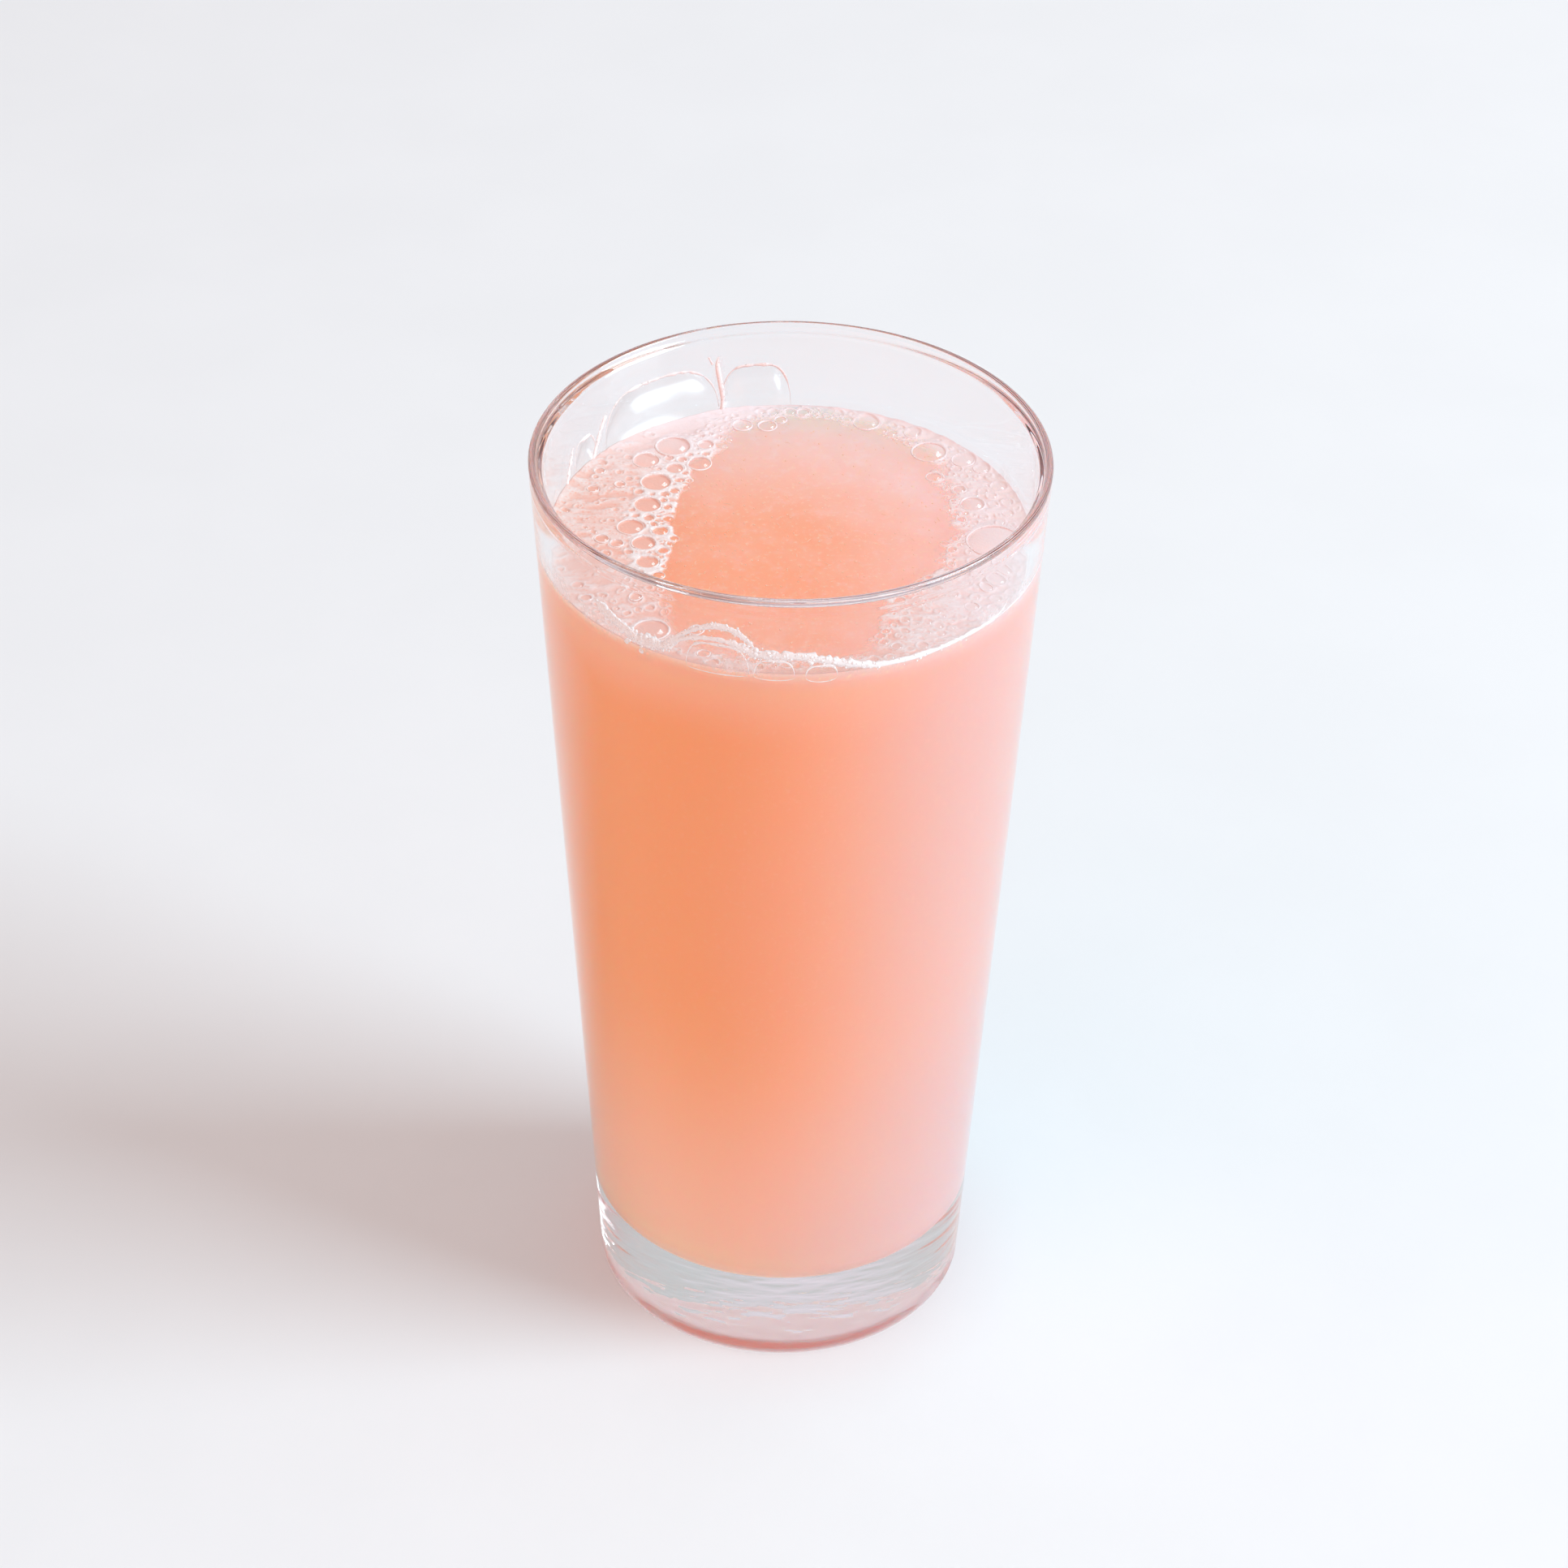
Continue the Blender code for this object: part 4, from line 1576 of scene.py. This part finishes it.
@dataclass
class Pulp:
    """Threads and grains of fruit pulp floating in the open surface."""

    froth: Froth
    threads: int = 110
    grains: int = 600
    seed: int = 23

    def open_places(self, count: int, draw: np.random.Generator) -> tuple[Array, Array]:
        """Draw even places inside the froth's open middle.

        Args:
            count: How many.
            draw: The seeded generator.

        Returns:
            Their x and y.
        """
        bearing = draw.uniform(0.0, 2.0 * np.pi, count)
        radius = np.sqrt(draw.random(count)) * (self.froth.inner_edge(bearing) + 1.0 * MM)
        return radius * np.cos(bearing), radius * np.sin(bearing)

    def build(self, material: Material) -> None:
        """Build all threads and grains as one mesh.

        A thread is a thin ellipsoid bent along a parabola: its middle line
        at place t from -1 to 1 is pushed sideways by its bend times t^2.

        Args:
            material: The pulp's finish.
        """
        draw = np.random.default_rng(self.seed)
        level = self.froth.drink.level
        parts = []
        x, y = self.open_places(self.threads, draw)
        length = (0.12 + 0.65 * draw.random(self.threads) ** 3) * MM
        thick = (0.03 + 0.03 * draw.random(self.threads)) * MM
        bend = draw.uniform(-0.12, 0.12, self.threads) * length
        heading = draw.uniform(0.0, 2.0 * np.pi, self.threads)
        ball = unit_ball(8, 14)
        for k in range(self.threads):
            way = np.array([math.cos(heading[k]), math.sin(heading[k]), 0.0])
            side = np.array([-way[1], way[0], 0.0])
            t, s, h = ball.points[:, 2:], ball.points[:, :1], ball.points[:, 1:2]
            points = (np.array([x[k], y[k], level]) + t * length[k] * way
                      + (s * thick[k] + bend[k] * t ** 2) * side
                      + h * thick[k] * np.array([0.0, 0.0, 0.8]))
            parts.append(Surface(points, ball.quads, ball.triangles).facing_out())
        x, y = self.open_places(self.grains, draw)
        size = (0.05 + 0.10 * draw.random(self.grains) ** 2) * MM
        frames = np.eye(3)[None] * size[:, None, None]
        frames[:, 2, 2] *= 0.6
        centres = np.stack([x, y, np.full(self.grains, level)], axis=-1)
        parts.append(unit_ball(8, 6).repeated(frames, centres))
        place_piece(Surface.merged(parts), "pulp", material)


@dataclass
class Studio:
    """The pale floor, the soft lamp, the surroundings and the camera."""

    tumbler: Tumbler
    floor_half: float = 4.0
    elevation: float = 37.18
    distance: float = 0.75
    roll: float = 0.862
    lens: float = 112.45
    sensor: float = 36.0
    picture: float = 1932.0
    axis_middle: tuple[float, float] = (966.87, 1071.19)
    sky: Colour = (0.545, 0.581, 0.589)
    warm_glow: Colour = (1.45, 0.80, 0.60)
    warm_way: tuple[float, float, float] = (-135.0, 14.0, 0.45)
    back_glow: Colour = (0.74, 0.69, 0.75)
    back_way: tuple[float, float, float] = (100.0, 14.0, 0.70)
    lamp_place: tuple[float, float, float] = (1.9, -0.42, 1.35)
    lamp_size: tuple[float, float] = (1.2, 1.3)
    lamp_power: float = 53.0
    lamp_colour: Colour = (0.72, 0.92, 1.0)
    bounces: int = 80
    clear_bounces: int = 16

    def build_floor(self, material: Material) -> None:
        """Lay the floor under the glass.

        Args:
            material: The floor's finish.
        """
        half = self.floor_half
        points = np.array([[-half, -half, 0.0], [half, -half, 0.0],
                           [half, half, 0.0], [-half, half, 0.0]])
        surface = Surface(points, np.array([[0, 1, 2, 3]]), np.empty((0, 3), int))
        item = surface.to_object("floor", material)

    def build_lamp(self) -> None:
        """Hang the soft rectangular lamp, facing the glass's middle."""
        data = bpy.data.lights.new("window_light", "AREA")
        data.shape = "RECTANGLE"
        data.size, data.size_y = self.lamp_size
        data.energy = self.lamp_power
        data.color = self.lamp_colour
        lamp = bpy.data.objects.new("window_light", data)
        lamp.location = self.lamp_place
        aim = Vector((0.0, 0.0, 0.5 * self.tumbler.height)) - Vector(self.lamp_place)
        lamp.rotation_euler = aim.to_track_quat("-Z", "Y").to_euler()
        bpy.context.scene.collection.objects.link(lamp)

    def build_world(self) -> None:
        """Build even pale surroundings with two low glows.

        The warm one is at the front left, the faint one behind. A glow grows
        with the cosine between the direction looked in and the glow's own,
        listed as its bearing, its rise and the cosine where it starts.
        """
        world = bpy.data.worlds.new("studio")
        world.use_nodes = True
        sheet = Sheet(world.node_tree)
        looked = sheet.add("ShaderNodeTexCoord").outputs["Generated"]
        colour = self.sky
        for way, tint in ((self.warm_way, self.warm_glow), (self.back_way, self.back_glow)):
            bearing, rise = (math.radians(v) for v in way[:2])
            aim = (math.cos(rise) * math.cos(bearing), math.cos(rise) * math.sin(bearing),
                   math.sin(rise))
            cosine = sheet.add("ShaderNodeVectorMath", {0: looked, 1: aim},
                               operation="DOT_PRODUCT")
            glow = sheet.ramp(cosine.outputs["Value"], way[2], 1.0)
            colour = sheet.mix(glow, colour, tint)
        sheet.wire(world.node_tree.nodes["Background"], {"Color": colour, "Strength": 1.0})
        bpy.context.scene.world = world

    def build_camera(self) -> None:
        """Place the camera at the photo's viewing angle.

        The camera looks so that the glass's middle falls on axis_middle in
        the picture, with its up direction turned by the roll.
        """
        tilt, roll = math.radians(self.elevation), math.radians(self.roll)
        middle = Vector((0.0, 0.0, 0.5 * self.tumbler.height))
        back = Vector((0.0, -math.cos(tilt), math.sin(tilt)))
        right = Vector((1.0, 0.0, 0.0))
        ahead = -back
        up = right.cross(ahead)
        focal = self.lens / self.sensor * self.picture
        left_by = 0.5 * self.picture - self.axis_middle[0]
        up_by = 0.5 * self.picture - self.axis_middle[1]
        x = math.cos(roll) * left_by + math.sin(roll) * up_by
        y = -math.sin(roll) * left_by + math.cos(roll) * up_by
        aim = (right * x / focal - up * y / focal + ahead).normalized()
        picture_up = up * math.cos(roll) - right * math.sin(roll)
        picture_up = (picture_up - aim * picture_up.dot(aim)).normalized()
        data = bpy.data.cameras.new("camera")
        data.lens, data.sensor_width = self.lens, self.sensor
        data.clip_start, data.clip_end = 0.05, 50.0
        camera = bpy.data.objects.new("camera", data)
        side = aim.cross(picture_up)
        camera.matrix_world = Matrix.Translation(middle + back * self.distance) @ \
            Matrix((side, picture_up, -aim)).transposed().to_4x4()
        bpy.context.scene.collection.objects.link(camera)
        bpy.context.scene.camera = camera

    def build(self) -> None:
        """Set up the camera, the floor, the surroundings and the lamp."""
        self.build_camera()
        self.build_floor(FloorFinish().build())
        self.build_world()
        self.build_lamp()
        bpy.context.scene.view_settings.view_transform = "Standard"
        cycles = bpy.context.scene.cycles
        for kind in ("max_bounces", "transmission_bounces", "glossy_bounces"):
            setattr(cycles, kind, self.bounces)
        cycles.transparent_max_bounces = self.clear_bounces


def main() -> None:
    """Build the lemonade, its glass and the studio round them."""
    logging.basicConfig(level=logging.INFO, format="%(name)s: %(message)s")
    tumbler = Tumbler.from_frame()
    drink = Lemonade(tumbler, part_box("drink")[1][2])
    froth = Froth(drink)
    flecks = speckle_group()
    froth_finish = FrothFinish(flecks).build()
    residue_finish = FrothFinish(flecks, "residue", wet=(0.94, 0.83, 0.82),
                                 milky=(0.94, 0.84, 0.845), colour=(0.94, 0.88, 0.88),
                                 crest=(0.97, 0.93, 0.935), roughness=0.6).build()
    film_finish = FilmFinish("bubble_film", roughness=0.05, gain=0.9).build()
    wall_film = FilmFinish("wall_film", roughness=0.22, gain=0.30).build()
    tumbler.build(GlassFinish().build())
    drink.build(LemonadeFinish(flecks, drink.level, tumbler.base_thickness,
                               tumbler.inner(drink.level)).build())
    froth.build_bed(froth_finish)
    froth.build_domes(film_finish)
    froth.build_rims(froth_finish)
    froth.build_wall_bubbles(wall_film)
    froth.build_strands(residue_finish)
    froth.build_veil(residue_finish)
    Pulp(froth).build(PulpFinish(flecks).build())
    Studio(tumbler).build()


if __name__ == "__main__":
    main()
